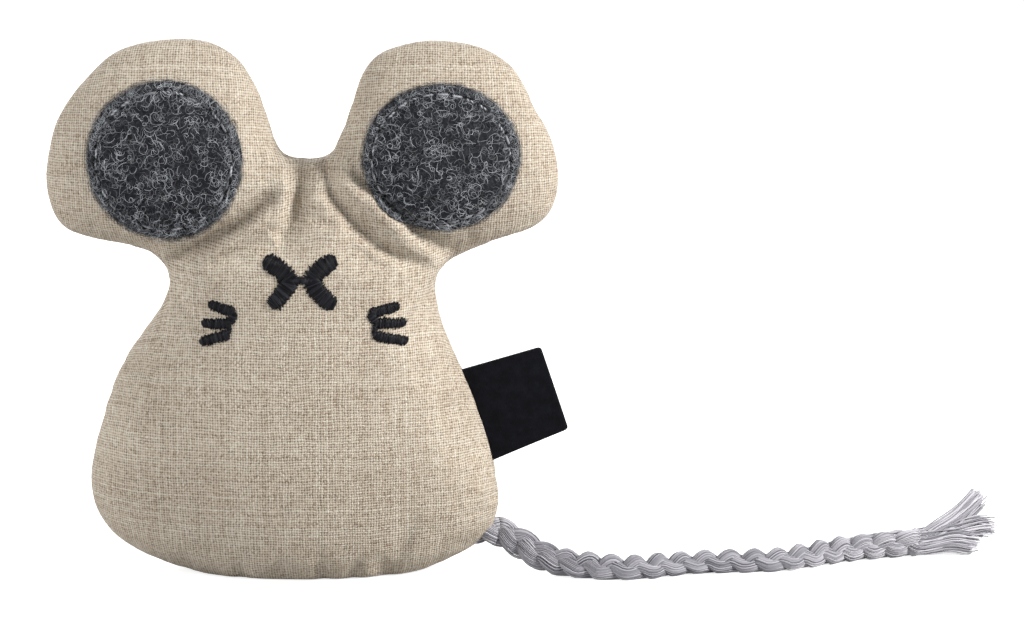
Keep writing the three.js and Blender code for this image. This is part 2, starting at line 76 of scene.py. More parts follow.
# Tail: its route on the floor, along X from its root, its Y, and how far it is off the floor
TAIL_DIAMETER = 6
TAIL_ROUTE = [
    (4.5, -1.6, 4.6), (9.5, -4.4, 2.6), (14.5, -7, 1.4), (19.5, -9.3, 0.7), (25, -11, 0.1),
    (30, -11.8, 0.1), (35, -11.4, 0.1), (40, -9.2, 0.1), (45, -6.9, 0.1), (50, -5.4, 0.1),
    (55, -4.6, 0.1), (60, -4.2, 0.1), (65, -3.8, 0.1), (70.5, -2.7, 0.1), (76, -0.1, 0.1),
    (81, 2.8, 0.1), (86.5, 6.2, 0.1), (92, 8.8, 0.1), (97, 10.6, 0.1), (102, 12, 0.1),
    (107, 13.6, 0.1),
]
PLAIT_PERIOD = 18.7
PLAIT_END_TURN = 170
PLAIT_HALF_WIDTH = 1.2
PLAIT_HALF_DEPTH = 0.9
STRAND_HALF_WIDTH = 2.3
STRAND_HALF_DEPTH = 1.8
YARNS_PER_STRAND = 34
YARN_RADIUS = 0.2
YARN_SIDES = 4
CORE_SHARE = 0.72
YARN_TWIST = 0.06
PLAIT_STEP = 0.75
# Along the plait: how far its broad side leans to the front, in degrees, how full it is and how light, its
# lighter tip painted light
PLAIT_LEAN = [(0, 118), (0.15, 122), (0.35, 126), (0.6, 130), (0.75, 145), (0.88, 168), (1, 180)]
PLAIT_FULLNESS = [(0, 1.14), (0.12, 1.08), (0.3, 0.9), (0.45, 0.83), (0.65, 0.82), (0.84, 0.92), (1, 1.04)]
PLAIT_LIGHTNESS = [(0, 0.08), (0.17, -0.08), (0.5, -0.14), (0.75, 0), (1, 0.12)]
TUFT_TIPS = [(17, 14.8, 8), (19, 10.8, 1.6), (14, 0.8, 0.2)]
# Where each bundle of the tuft bends
TUFT_BENDS = [(7, 3, 3.6), (9, 7, 1.4), (7, -0.5, 0)]
TUFT_YARNS = 528
TUFT_POINTS = 14
TUFT_YARN_RADII = (0.17, 0.19)
TUFT_TONES = (0.25, 0.9)

# Linen skin: the seam's outline as X and Z, anticlockwise from the notch between the ears
OUTLINE = [
    (-5.2, 104.9), (-7.4, 107), (-9.5, 113), (-11.5, 119), (-14.5, 125), (-18, 129.5), (-24, 133),
    (-31.5, 134), (-41, 133), (-48.5, 130.3), (-54.5, 125), (-59.5, 119), (-63, 112.5), (-65, 104),
    (-65.4, 98), (-64, 91.5), (-61, 87), (-54.5, 84.4), (-45.5, 82.5), (-38.8, 80.3), (-35.5, 76.5),
    (-35.7, 72.5), (-37.8, 67.5), (-41.8, 62), (-47.8, 52.5), (-51.8, 42), (-54.7, 30.5),
    (-55.6, 23), (-54.2, 15.5), (-50.2, 9.6), (-43.8, 5), (-36.5, 1.8), (-30, -0.6), (-20, -7.5),
    (-5, -11.5), (11, -9.5), (20, -5.5), (27.5, -0.6), (34.5, 2.8), (40.8, 6.3), (45, 10.6),
    (46.7, 15.5), (47, 20), (45.9, 28), (42.6, 40), (37.8, 52.5), (34.3, 60.5), (32, 68.5), (31.8, 74),
    (33.8, 78), (39.2, 81), (47, 84), (55.3, 87), (59.8, 91), (61.8, 97.5), (61.3, 105), (59.1, 111.5),
    (56.3, 116.5), (53.9, 121.5), (50.3, 127), (44.6, 131), (38, 133), (30, 133.6), (23.5, 132.6),
    (17.3, 130.3), (13.5, 126.2), (11.3, 121), (9, 114.5), (6.5, 108.5), (4.4, 105.2), (-0.5, 104.4),
]
CLOTH_SPACING = 1.25
SEAM_ROWS = (0.25, 0.75, 1.5)
SEAM_PINCH = 0.7
SWELL = 0.86
FLOOR_SOFTNESS = 0.8
BACK_CLOTH_SHIFT = (200, 0)
BEFORE_SKIN = -200
# How the flat cloth is laid out: over how many points its outline's bends are measured, and how much of
# a hollow bend's radius the cloth beside it may take up
BEND_REACH = 4
HOLLOW_SHARE = 0.45
SPREAD_SMOOTHING = 2

# Folds, as X and Z along each one, its depth, below zero for a raised roll, and how far it spreads to
# the left and to the right of the way it runs
FRONT_FOLDS = [
    ([(-3.3, 104.8), (-3, 100.6), (-3.4, 96.1), (-4.2, 91.4), (-6.5, 87.7)], 4.6, 2.5, 1.1),
    ([(-7, 101), (-7, 96.5), (-10.8, 92), (-16.4, 87.8), (-22.6, 83.2), (-27, 80.3)], -2, 2.3, 1.9),
    ([(-8.8, 96), (-11.8, 94), (-15.2, 91.4), (-19, 88.4), (-28.1, 82.7), (-33.1, 79.2)], 5.6, 1, 2),
    ([(3.5, 104.8), (5.2, 98.6), (8.4, 93.7), (12, 89.5), (17, 85), (22.5, 81.3), (28, 79)], 3, 2.4, 1.1),
    (
        [(10, 101), (12.4, 98.6), (17.4, 94.4), (21.5, 90.5), (24.7, 87.2), (28.4, 84), (30.8, 81.2)],
        -2.2, 1.6, 3,
    ),
    (
        [(12.4, 102), (13.9, 100.1), (19, 96), (23.1, 92.1), (26.2, 88.7), (30, 85.5), (32.4, 82.7)],
        3.3, 1.8, 0.9,
    ),
    ([(28.6, 86.5), (33.5, 83.5), (38.5, 85.3)], 2, 3.2, 3.2),
    ([(-24, 90), (-31, 85.5), (-38, 83.5)], 1, 4, 4),
    ([(18, -3), (20, 3), (25.5, 15)], 1.5, 3.2, 1.8),
    ([(3.4, -4), (3.2, 2), (2.4, 8)], 1, 1.6, 1.6),
    ([(10.2, -4), (10.8, 1), (12.4, 6)], 1, 1.4, 1.4),
    ([(-17.5, -4), (-17, 2), (-15.6, 9)], 0.8, 1.8, 1.8),
    ([(31, -1), (31.5, 4), (33, 10)], 0.7, 1.6, 1.6),
]
BACK_FOLDS = [
    ([(-5, 103.5), (-6, 97), (-10, 91.5), (-17, 87), (-26, 82), (-33, 77.5)], 2.4, 2.2, 2.2),
    ([(3, 103.5), (4.5, 97), (9, 91), (16, 86), (24, 81), (30, 77)], 2.4, 2.2, 2.2),
    ([(-26, -3), (-25, 3), (-22.5, 11)], 1.1, 1.8, 1.4),
    ([(-8, -4), (-8.2, 2), (-9.4, 8)], 0.9, 1.6, 1.6),
    ([(14, -4), (14.6, 2), (16.4, 10)], 1, 1.6, 1.6),
]

# Cloth simulation, at a scale that suits the solver: the linen, a little loose, and how far it may move
SOLVER_SCALE = 10
SOLVER_FRAMES = 20
LINEN_CLOTH = {
    "quality": 5,
    "mass": 0.3,
    "tension_stiffness": 15,
    "compression_stiffness": 15,
    "shear_stiffness": 5,
    "bending_stiffness": 0.2,
    "shrink_min": -0.05,
    "use_pressure": True,
    "uniform_pressure_force": 4,
}
HELD_HEIGHT = 0.6
HELD_FOLD = 2
MOST_MOVE = 2.5
SIDEWAYS_SHARE = 0.35

# Ears
FELT_RADIUS = 19.2
FELT_THICKNESS = 1.9
FELT_EDGE = 1.2
FELT_SUNK = 0.4
FELT_LUMPS = 0.16
# How far each felt lies from the middle of its solid, and how far the ear's tilt flattens its circle
FELT_SHIFT = {"left": (0.8, -1.1), "right": (1.15, -0.5)}
FELT_STRETCH = {"left": (0.99, 1), "right": (0.995, 0.93)}
FELT_STITCH_RADIUS = 16.9
FELT_GROOVE = 1
FELT_GROOVE_WIDTH = 0.6
FELT_STITCHES = 30
STITCHED_SHARE = 0.72
PLY_RADIUS = 0.17
PLY_OFFSET = 0.16
PLY_PITCH = 1.1
FELT_SIDES = 200
FELT_RINGS = 48
# Wool fibres on each felt: how many, how few of them are pale, and how they curl, in radians per mm
FELT_FIBRES = {"face": 4100, "edge": 2000}
# The fibres round the edge are paler: a painted highlight where the felt's rim catches the light.
FIBRE_DARKNESS = {"face": 6.5, "edge": 4.5}
FIBRE_POINTS = 8
FIBRE_RADIUS = 0.032
FIBRE_LENGTHS = (2.2, 4.8)
TIGHT_SHARE = 0.42
TIGHT_CURLS = (1.2, 2.2)
LOOSE_CURLS = (0.2, 1)
EAR_CUT = -2.4

# Face: the middle line of each stitched bar as X and Z, from the middle of the face outwards
NOSE = {
    "left": [(-10.2, 82.1), (-6.9, 80.2), (-4, 77.2), (-5.9, 73.9), (-8.6, 71)],
    "right": [(7.3, 82.2), (3.9, 80.3), (1.5, 77.2), (3.5, 73.7), (6.9, 70.9)],
}
NOSE_WIDTHS = (4.2, 4.4, 4.5, 4.3, 4)
NOSE_LINK_WIDTH = 1.5
WHISKERS = {
    "left_upper": [(-17.5, 69.3), (-24.1, 70.8)],
    "left_middle": [(-19, 66.5), (-25.8, 66)],
    "left_lower": [(-19, 63.9), (-26.2, 61.5)],
    "right_upper": [(15.6, 68.9), (22.6, 70.2)],
    "right_middle": [(17, 66.4), (24.2, 65.8)],
    "right_lower": [(16.6, 63.5), (24.5, 61.1)],
}
WHISKER_WIDTHS = (2.6, 2.2)
LINK_WIDTH = 1.1
STITCH_PITCH = 0.24
STITCH_RADIUS = 0.18
STITCH_RISE = 0.6

# Label: where its inner and outer edges run, bottom end first, as X and Z
LABEL_INNER = ((46.5, 28.3), (38.7, 51.3))
LABEL_OUTER = ((64.3, 36), (57.3, 56.7))
LABEL_TUCK = 4
LABEL_LAYER = 0.34
LABEL_FOLD_RADIUS = 0.34
LABEL_CORNER = 0.8
LABEL_BOW = 0.6
LABEL_RIB = 0.3
LABEL_YARN = 0.42
LABEL_STEPS = 30

# Filling
WADDING_GRAIN = 2.4
WADDING_SHARE = 0.9
WADDING_CLEARANCE = 1.6
POUCH_RIM = 0.88
POUCH_SIDES = 72

# Stage, in metres
FLOOR_REACH = 3
FLOOR_GLOW = 0.78
SKY_LIGHT = 0.42
LAMP_AIM = (0, 0, 0.06)


# Arrays and meshes

def lengths(vectors):
    return np.linalg.norm(vectors, axis=-1)


def unit(vectors):
    return vectors / np.maximum(lengths(vectors), 1e-9)[..., None]


def run_along(points):
    """How far along a line each of its points is."""
    return np.append(0, np.cumsum(lengths(np.diff(points, axis=0))))


def even(points, spacing):
    """Points at an even spacing along a line of points, ends included."""
    points = np.asarray(points, float)
    run = run_along(points)
    count = max(2, round(run[-1] / spacing) + 1)
    at = np.linspace(0, run[-1], count)
    return np.stack([np.interp(at, run, column) for column in points.T], 1)


def curve_through(points, closed=False, steps=16):
    """Close points on a smooth curve through the given ones."""
    p = np.asarray(points, float)
    if closed:
        before, after, beyond = np.roll(p, 1, 0), np.roll(p, -1, 0), np.roll(p, -2, 0)
    else:
        ends = np.vstack([2 * p[0] - p[1], p, 2 * p[-1] - p[-2]])
        before, p, after, beyond = ends[:-3], ends[1:-2], ends[2:-1], ends[3:]
    t = np.linspace(0, 1, steps, endpoint=False)[:, None, None]
    spans = 0.5 * (
        2 * p
        + (after - before) * t
        + (2 * before - 5 * p + 4 * after - beyond) * t**2
        + (3 * p - before - 3 * after + beyond) * t**3
    )
    line = spans.transpose(1, 0, 2).reshape(-1, p.shape[1])
    return np.vstack([line, line[:1] if closed else after[-1:]])


def from_table(table, share):
    """The values of a table of shares and values at the given shares."""
    return np.interp(share, *np.array(table, float).T)


def at_depth(places, y):
    """Points in space at places given as X and Z, with their Y."""
    return np.stack([places[..., 0], y, places[..., 1]], -1)


def put_in_scene(name, data):
    thing = bpy.data.objects.new(name, data)
    bpy.context.scene.collection.objects.link(thing)
    return thing


def make_piece(name, points, faces):
    mesh = bpy.data.meshes.new(name)
    mesh.from_pydata((np.asarray(points) * MM).tolist(), [], [list(face) for face in faces])
    mesh.validate()
    mesh.polygons.foreach_set("use_smooth", [True] * len(mesh.polygons))
    return put_in_scene(name, mesh)


def ring_walls(rings, sides):
    """Faces between closed rings of points that follow each other."""
    start = np.arange(rings - 1)[:, None] * sides
    side = np.arange(sides)
    following = (side + 1) % sides
    corners = [start + side, start + following, start + sides + following, start + sides + side]
    return np.stack(corners, -1).reshape(-1, 4)


def tubes(name, paths, radii, sides, tones):
    """One mesh of closed round tubes along rows of points, with a tone for each tube or each point."""
    paths = np.asarray(paths, float)
    count, length = paths.shape[:2]
    radii = np.broadcast_to(radii, (count, length))
    along = unit(np.gradient(paths, axis=1))
    across = np.zeros_like(along)
    spare = np.where(np.abs(along[:, 0, 2:]) < 0.8, [[0, 0, 1.0]], [[1.0, 0, 0]])
    across[:, 0] = unit(np.cross(along[:, 0], spare))
    for k in range(1, length):
        last = across[:, k - 1]
        across[:, k] = unit(last - np.sum(last * along[:, k], 1, keepdims=True) * along[:, k])
    third = np.cross(along, across)
    turn = np.arange(sides) * 2 * np.pi / sides
    ring = np.cos(turn)[:, None] * across[:, :, None] + np.sin(turn)[:, None] * third[:, :, None]
    rings = paths[:, :, None] + radii[:, :, None, None] * ring
    points = np.concatenate([rings.reshape(count, -1, 3), paths[:, [0, -1]]], 1)
    stride = length * sides + 2
    side = np.arange(sides)
    following = (side + 1) % sides
    last_ring = (length - 1) * sides
    start = np.stack([following, side, np.full(sides, stride - 2)], -1)
    end = np.stack([last_ring + side, last_ring + following, np.full(sides, stride - 1)], -1)
    first = (np.arange(count) * stride)[:, None, None]
    faces = []
    for group in (ring_walls(length, sides), start, end):
        faces += (first + group).reshape(-1, group.shape[1]).tolist()
    piece = make_piece(name, points.reshape(-1, 3), faces)
    tones = np.broadcast_to(np.reshape(tones, (count, -1)), (count, stride))
    attribute = piece.data.attributes.new("tone", "FLOAT", "POINT")
    attribute.data.foreach_set("value", tones.ravel().astype(np.float32))
    return piece


def lay_flat(piece, places):
    """Keeps the place of each face's corners on the flat cloth as a UV map."""
    layer = piece.data.uv_layers.new(name="cloth")
    layer.data.foreach_set("uv", np.asarray(places, np.float32).ravel())


def rows_of(items, name, width, kind=float):
    """One property of all of a mesh's points or corners, a row for each."""
    values = np.zeros(len(items) * width, kind)
    items.foreach_get(name, values)
    return values.reshape(-1, width)


# Camera

def make_camera():
    data = bpy.data.cameras.new("camera")
    data.sensor_width = SENSOR_WIDTH
    data.lens = SENSOR_WIDTH * FOCAL_PIXELS / PHOTO_WIDTH
    camera = put_in_scene("camera", data)
    tilt = math.radians(CAMERA_ELEVATION)
    back = Vector((0, -math.cos(tilt), math.sin(tilt)))
    camera.location = (Vector(CAMERA_TARGET) + CAMERA_DISTANCE * back) * MM
    camera.rotation_euler = (math.pi / 2 - tilt, 0, 0)
    bpy.context.scene.camera = camera


make_camera()

joints = {joint["name"]: joint for joint in frame["joints"]}


def joint_place(name):
    return np.array(joints[name]["pos_m"]) / MM


def outward(name):
    """The way out from the body, square to a hinge that lies in the plane of the seam."""
    x, _, z = joints[name]["axis"]
    return np.array([z, 0, -x]) * (1 if name == "label_flap" else -1)


def blend_over(piece):
    """Moves a piece's placing into its mesh's points."""
    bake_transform(piece)


# Materials

def put(socket, value):
    if isinstance(value, bpy.types.NodeSocket):
        socket.id_data.links.new(value, socket)
    else:
        socket.default_value = value


def add(tree, kind, inputs, **settings):
    node = tree.nodes.new("ShaderNode" + kind)
    for key, value in settings.items():
        setattr(node, key, value)
    for key, value in inputs.items():
        put(node.inputs[key], value)
    return node


def calc(operation, a, b=0.0):
    """One step of arithmetic, where at least one of the values is a socket."""
    tree = (a if isinstance(a, bpy.types.NodeSocket) else b).id_data
    return add(tree, "Math", {0: a, 1: b}, operation=operation).outputs[0]


def times(a, b):
    return calc("MULTIPLY", a, b)


def plus(a, b):
    return calc("ADD", a, b)


def noise(vector, scale, detail=2.0, roughness=0.5):
    inputs = {"Vector": vector, "Scale": scale, "Detail": detail, "Roughness": roughness}
    return add(vector.id_data, "TexNoise", inputs).outputs["Fac"]


def ramp(factor, stops):
    node = add(factor.id_data, "ValToRGB", {"Fac": factor})
    elements = node.color_ramp.elements
    while len(elements) < len(stops):
        elements.new(1)
    for element, (place, colour) in zip(elements, stops):
        element.position = place
        element.color = colour
    return node.outputs["Color"]


def shaded(factor, base, shade):
    """A colour darkened by another, by a share."""
    inputs = {0: factor, 6: base, 7: shade}
    return add(base.id_data, "Mix", inputs, data_type="RGBA", blend_type="MULTIPLY").outputs[2]


def colour(red, green, blue):
    """A colour as read from a picture, 0 to 255, in the numbers that shaders take."""
    def linear(value):
        share = value / 255
        return share / 12.92 if share <= 0.04045 else ((share + 0.055) / 1.055) ** 2.4
    return (linear(red), linear(green), linear(blue), 1)


def new_material(name):
    material = bpy.data.materials.new(name)
    material.use_nodes = True
    tree = material.node_tree
    tree.nodes.clear()
    shader = add(tree, "BsdfPrincipled", {})
    add(tree, "OutputMaterial", {"Surface": shader.outputs[0]})
    return material, tree, shader


def finish_material(shader, base, roughness, height=None, rise=0.1, specular=0.25, sheen=0.0):
    names = ("Base Color", "Roughness", "Specular IOR Level", "Sheen Weight")
    for name, value in zip(names, (base, roughness, specular, sheen)):
        put(shader.inputs[name], value)
    if height is not None:
        bump = add(shader.id_data, "Bump", {"Height": height, "Distance": rise * MM})
        put(shader.inputs["Normal"], bump.outputs[0])


# Weave: its threads' pitch, how they wander, as scale and detail of the waves and their reach, how uneven
# their widths are, and how far each thread's own tone and its slubs show
THREAD_PITCH = 0.675
THREAD_WANDER = [(0.12, 2.0, 1.0), (0.8, 1.0, 0.26)]
THREAD_UNEVENNESS = 0.4
THREAD_TONE = 0.09
SLUB_TONE = 0.38


def linen_material():
    """Plain weave: warp and weft cross over and under, each thread with its own tone and slubs, with
    painted shade in the low places.
    """
    material, tree, shader = new_material("linen")
    place = add(tree, "UVMap", {}, uv_map="cloth").outputs[0]
    moved = place
    for scale, detail, reach in THREAD_WANDER:
        field = add(tree, "TexNoise", {"Vector": place, "Scale": scale, "Detail": detail}).outputs["Color"]
        shift = add(tree, "VectorMath", {0: field, 1: (0.5, 0.5, 0.5)}, operation="SUBTRACT").outputs[0]
        inputs = {0: shift, 1: (reach, reach, 0), 2: moved}
        moved = add(tree, "VectorMath", inputs, operation="MULTIPLY_ADD").outputs[0]
    parts = add(tree, "SeparateXYZ", {0: moved}).outputs

    def spaced(along, seed):
        """Numbers that count threads of unequal width."""
        count = calc("DIVIDE", along, THREAD_PITCH)
        inputs = {"W": plus(count, seed), "Scale": 0.8, "Detail": 1.0}
        swing = add(tree, "TexNoise", inputs, noise_dimensions="1D").outputs["Fac"]
        return plus(count, times(swing, THREAD_UNEVENNESS))

    u, v = spaced(parts[0], 5.1), spaced(parts[1], 71.7)

    def thread(across, along, seed):
        """Tone along one family of threads, and its round profile."""
        number = calc("FLOOR", across)
        own = add(tree, "TexWhiteNoise", {"W": plus(number, seed)}, noise_dimensions="1D").outputs[0]
        line = add(tree, "CombineXYZ", {0: times(number, 3.7), 1: times(along, 0.22), 2: seed}).outputs[0]
        slub = noise(line, 1.0, 3.0, 0.6)
        middle = calc("SUBTRACT", calc("FRACT", across), 0.5)
        profile = calc("COSINE", times(middle, math.pi))
        return plus(times(own, THREAD_TONE), times(slub, SLUB_TONE)), profile

    warp_tone, warp_profile = thread(u, v, 11.3)
    weft_tone, weft_profile = thread(v, u, 47.9)
    checker = times(*[calc("SINE", times(count, math.pi)) for count in (u, v)])
    lift = times(checker, 0.5)
    warp_height = times(warp_profile, plus(lift, 0.6))
    weft_height = times(weft_profile, calc("SUBTRACT", 0.6, lift))
    height = calc("MAXIMUM", warp_height, weft_height)
    warp_on_top = calc("GREATER_THAN", warp_height, weft_height)
    tone = add(tree, "Mix", {0: warp_on_top, 2: weft_tone, 3: warp_tone}, data_type="FLOAT").outputs[0]
    threads = ramp(tone, [
        (0.11, colour(143, 127, 110)),
        (0.2, colour(179, 168, 153)),
        (0.33, colour(198, 191, 178)),
        (0.46, colour(219, 214, 205)),
    ])
    # Painted shade: the weave is darker where it lies low, on the threads' flanks and in the gaps between
    # them, deeper in some gaps than others.
    corner = add(tree, "CombineXYZ", {0: calc("ROUND", u), 1: calc("ROUND", v)}).outputs[0]
    gap = add(tree, "TexWhiteNoise", {0: corner}).outputs[0]
    closing = times(calc("SUBTRACT", 0.6, gap), 0.26)
    shade = ramp(plus(height, closing), [
        (0.16, (0.15, 0.13, 0.108, 1)),
        (0.48, (0.72, 0.69, 0.66, 1)),
        (0.92, (1, 1, 1, 1)),
    ])
    # How strongly the painted shade of the weave shows, a little uneven over the cloth.
    inputs = {0: noise(place, 0.9), 1: 0.3, 2: 0.7, 3: 0.76, 4: 1.0}
    shade_strength = add(tree, "MapRange", inputs).outputs[0]
    cloud = ramp(noise(place, 0.05, 3.0, 0.6), [(0.3, (0.9, 0.89, 0.88, 1)), (0.7, (1, 1, 1, 1))])
    base = shaded(1.0, shaded(shade_strength, threads, shade), cloud)
    finish_material(shader, base, 0.92, height, rise=0.14, specular=0.15, sheen=0.04)
    return material


def simple_material(name, dark, light, scale, roughness, rise):
    """Matt stuff of two tones that run into each other."""
    material, tree, shader = new_material(name)
    grain = noise(add(tree, "TexCoord", {}).outputs["Object"], scale, 4.0, 0.6)
    base = ramp(grain, [(0.3, dark), (0.7, light)])
    finish_material(shader, base, roughness, grain, rise, specular=0.1)
    return material


def fibre_material(name, dark, light, roughness, sheen, specular=0.25):
    """Thread or fibre whose tone is kept on its points."""
    material, tree, shader = new_material(name)
    tone = add(tree, "Attribute", {}, attribute_name="tone").outputs["Fac"]
    finish_material(shader, ramp(tone, [(0, dark), (1, light)]), roughness, specular=specular, sheen=sheen)
    return material


def dress(piece, material, slot, *nodes):
    """Gives a piece its material, and hides the solids it stands for."""
    piece.data.materials.append(material)
    if nodes:
        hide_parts(*nodes)


# Tail

def tail_path():
    """Close points from the tail's sewn-in end to its tip, and the number of the one at its root."""
    root = joint_place("tail_swing")
    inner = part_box("tail_anchor")[0].x / MM
    inside_body = [(inner, 0, root[2] + 1), ((inner + root[0]) / 2, 0, root[2] + 0.8)]
    route = [(root[0] + x, y, TAIL_DIAMETER / 2 + lift) for x, y, lift in TAIL_ROUTE]
    path = even(curve_through([*inside_body, root, *route]), PLAIT_STEP)
    return path, int(np.argmin(lengths(path - root)))


def plait_paths(path, run):
    """The middle line of each yarn of the three strands, and of each strand's core."""
    share = run / run[-1]
    lean = np.radians(from_table(PLAIT_LEAN, share))
    full = from_table(PLAIT_FULLNESS, share)
    along = unit(np.gradient(path, axis=0))
    level = unit(np.cross(along, [0, 0, 1.0]))
    up = np.cross(level, along)
    broad = up * np.cos(lean)[:, None] + level * np.sin(lean)[:, None]
    deep = np.cross(along, broad)
    paths, cores = [], []
    for strand in range(3):
        phase = 2 * np.pi * ((run - run[-1]) / PLAIT_PERIOD + strand / 3) + math.radians(PLAIT_END_TURN)
        sway = 1.1 * np.sin(phase) - 0.1 * np.sin(3 * phase)
        middle = (
            path
            + (PLAIT_HALF_WIDTH * full * sway)[:, None] * broad
            - (PLAIT_HALF_DEPTH * full * np.sin(2 * phase))[:, None] * deep
        )
        heading = unit(np.gradient(middle, axis=0))
        side = unit(np.cross(heading, deep))
        top = np.cross(side, heading)
        swell = full * (0.94 + 0.12 * np.sin(phase) ** 2)
        cores.append(middle)
        for yarn in range(YARNS_PER_STRAND):
            turn = 2 * np.pi * yarn / YARNS_PER_STRAND + YARN_TWIST * run
            slack = random.uniform(0.93, 1.03)
            slack += 0.05 * np.sin(run * random.uniform(0.4, 1.0) + random.uniform(0, 6))
            wide = (STRAND_HALF_WIDTH - YARN_RADIUS) * swell * slack * np.cos(turn)
            high = (STRAND_HALF_DEPTH - YARN_RADIUS) * swell * slack * np.sin(turn)
            paths.append(middle + wide[:, None] * side + high[:, None] * top)
    return np.array(paths), np.array(cores)


def make_plait(name, yarns, cores, light):
    """One length of the plait: its yarns, with a core inside each strand, lighter by a share along it,
    partly as painted light.
    """
    radii = [YARN_RADIUS] * len(yarns) + [CORE_SHARE * STRAND_HALF_DEPTH] * len(cores)
    tones = 0.22 * (np.arange(len(yarns)) % 2) + random.uniform(0.05, 0.55, len(yarns))
    tones = np.append(tones, np.zeros(len(cores)))[:, None]
    # Painted light: the tone shift along the plait, lighter towards the tip.
    fade = np.append(np.repeat(light, YARN_SIDES), light[[0, -1]])
    lines = np.concatenate([yarns, cores])
    return tubes(name, lines, np.reshape(radii, (-1, 1)), YARN_SIDES, tones + fade)


def make_tuft(yarns, cores):
    """Loose ends of the three strands, each strand a blunt brush of its own."""
    end = cores[:, -1].mean(0)
    t = np.linspace(0, 1, TUFT_POINTS)[:, None]
    lines = []
    for number in range(TUFT_YARNS):
        outer = number % len(yarns)
        bundle = outer // YARNS_PER_STRAND
        yarn, core = yarns[outer], cores[bundle]
        depth = 0 if number < len(yarns) else random.uniform(0.05, 0.9)
        start = yarn[-2] + depth * (core[-2] - yarn[-2])
        brush = (yarn[-1] - core[-1]) * random.uniform(0.2, 1.1) + random.normal(0, 0.45, 3)
        tip = end + TUFT_TIPS[bundle] + brush + (random.normal(0, 0.8), 0, 0)
        bend = end + TUFT_BENDS[bundle] + brush
        line = (1 - t) ** 2 * start + 2 * t * (1 - t) * bend + t**2 * tip
        wave = random.uniform(0.05, 0.25) * np.sin(t * random.uniform(6, 14) + random.uniform(0, 6))
        line = line + wave * t * unit(random.normal(0, 1, 3))
        line[:, 2] += 0.7 * (np.sin(7 * t + 2 * bundle) * t)[:, 0]
        line[:, 2] = np.maximum(line[:, 2], 0.3)
        lines.append(line)
    radii = np.linspace(*TUFT_YARN_RADII, TUFT_POINTS)
    return tubes("tail_tuft_yarns", lines, radii, 5, random.uniform(*TUFT_TONES, len(lines)))


def make_tail(material):
    whole, first = tail_path()
    run = (np.arange(len(whole)) - first) * PLAIT_STEP
    yarns, cores = plait_paths(whole, run)
    lowest = yarns[:, :, 2].min(0) - YARN_RADIUS
    drop = np.clip(lowest - 0.05, None, 1.2) * np.clip(run / run[-1] * 6, 0, 1)
    yarns[:, :, 2] -= drop
    cores[:, :, 2] -= drop
    # Painted light along the plait, lighter towards the tip.
    light = from_table(PLAIT_LIGHTNESS, run / run[-1])
    sewn_end = make_plait("tail_sewn_end", yarns[:, :first + 1], cores[:, :first + 1], light[:first + 1])
    dress(sewn_end, material, "tail_cotton", "tail_anchor")
    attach(sewn_end, "body")
    plait = make_plait("tail_plait_yarns", yarns[:, first:], cores[:, first:], light[first:])
    dress(plait, material, "tail_cotton", "tail_plait")
    blend_over(plait)
    tuft = make_tuft(yarns, cores)
    dress(tuft, material, "tail_cotton", "tail_tuft")
    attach(tuft, "tail")


cotton = fibre_material("cotton", colour(80, 80, 88), colour(196, 194, 200), 0.95, 0.05, 0.1)
make_tail(cotton)


# Linen skin

def inside(points, outline):
    """Whether each point lies in a closed outline."""
    x, z = points[:, :1], points[:, 1:]
    ax, az = outline.T
    bx, bz = np.roll(outline, -1, 0).T
    crosses = (az > z) != (bz > z)
    rise = np.where(bz == az, 1, bz - az)
    return np.sum(crosses & (x < ax + (z - az) * (bx - ax) / rise), 1) % 2 == 1


def nearest(points, line):
    """Each point's distance to the nearest of a line's points, and that one's number."""
    tree = KDTree(len(line))
    for k, (x, z) in enumerate(line):
        tree.insert((x, 0, z), k)
    tree.balance()
    found = [tree.find((x, 0, z)) for x, z in points]
    return np.array([hit[2] for hit in found]), np.array([hit[1] for hit in found])


def flat_cloth():
    """Points of one flat panel, rim first, its triangles and the number of points on the rim."""
    rim = even(curve_through(OUTLINE, closed=True), CLOTH_SPACING)[:-1]
    along = unit(np.roll(rim, -1, 0) - np.roll(rim, 1, 0))
    inward = np.stack([-along[:, 1], along[:, 0]], 1)
    rows = [rim + inward * row for row in SEAM_ROWS]
    low, high = rim.min(0), rim.max(0)
    step = CLOTH_SPACING * math.sqrt(3) / 2
    grid = []
    for k, z in enumerate(np.arange(low[1], high[1], step)):
        x = np.arange(low[0] + (k % 2) * CLOTH_SPACING / 2, high[0], CLOTH_SPACING)
        grid.append(np.stack([x, np.full(len(x), z)], 1))
    grid = np.vstack(grid)
    gap = nearest(grid, rim)[0]
    grid = grid[inside(grid, rim) & (gap > SEAM_ROWS[-1] + 0.6 * CLOTH_SPACING)]
    points = np.vstack([rim, *rows, grid])
    edges = [(k, (k + 1) % len(rim)) for k in range(len(rim))]
    faces = np.array(delaunay_2d_cdt([Vector(p) for p in points], edges, [], 0, 1e-6)[2])
    faces = faces[inside(points[faces].mean(1), rim)]
    return points, faces, len(rim), inward


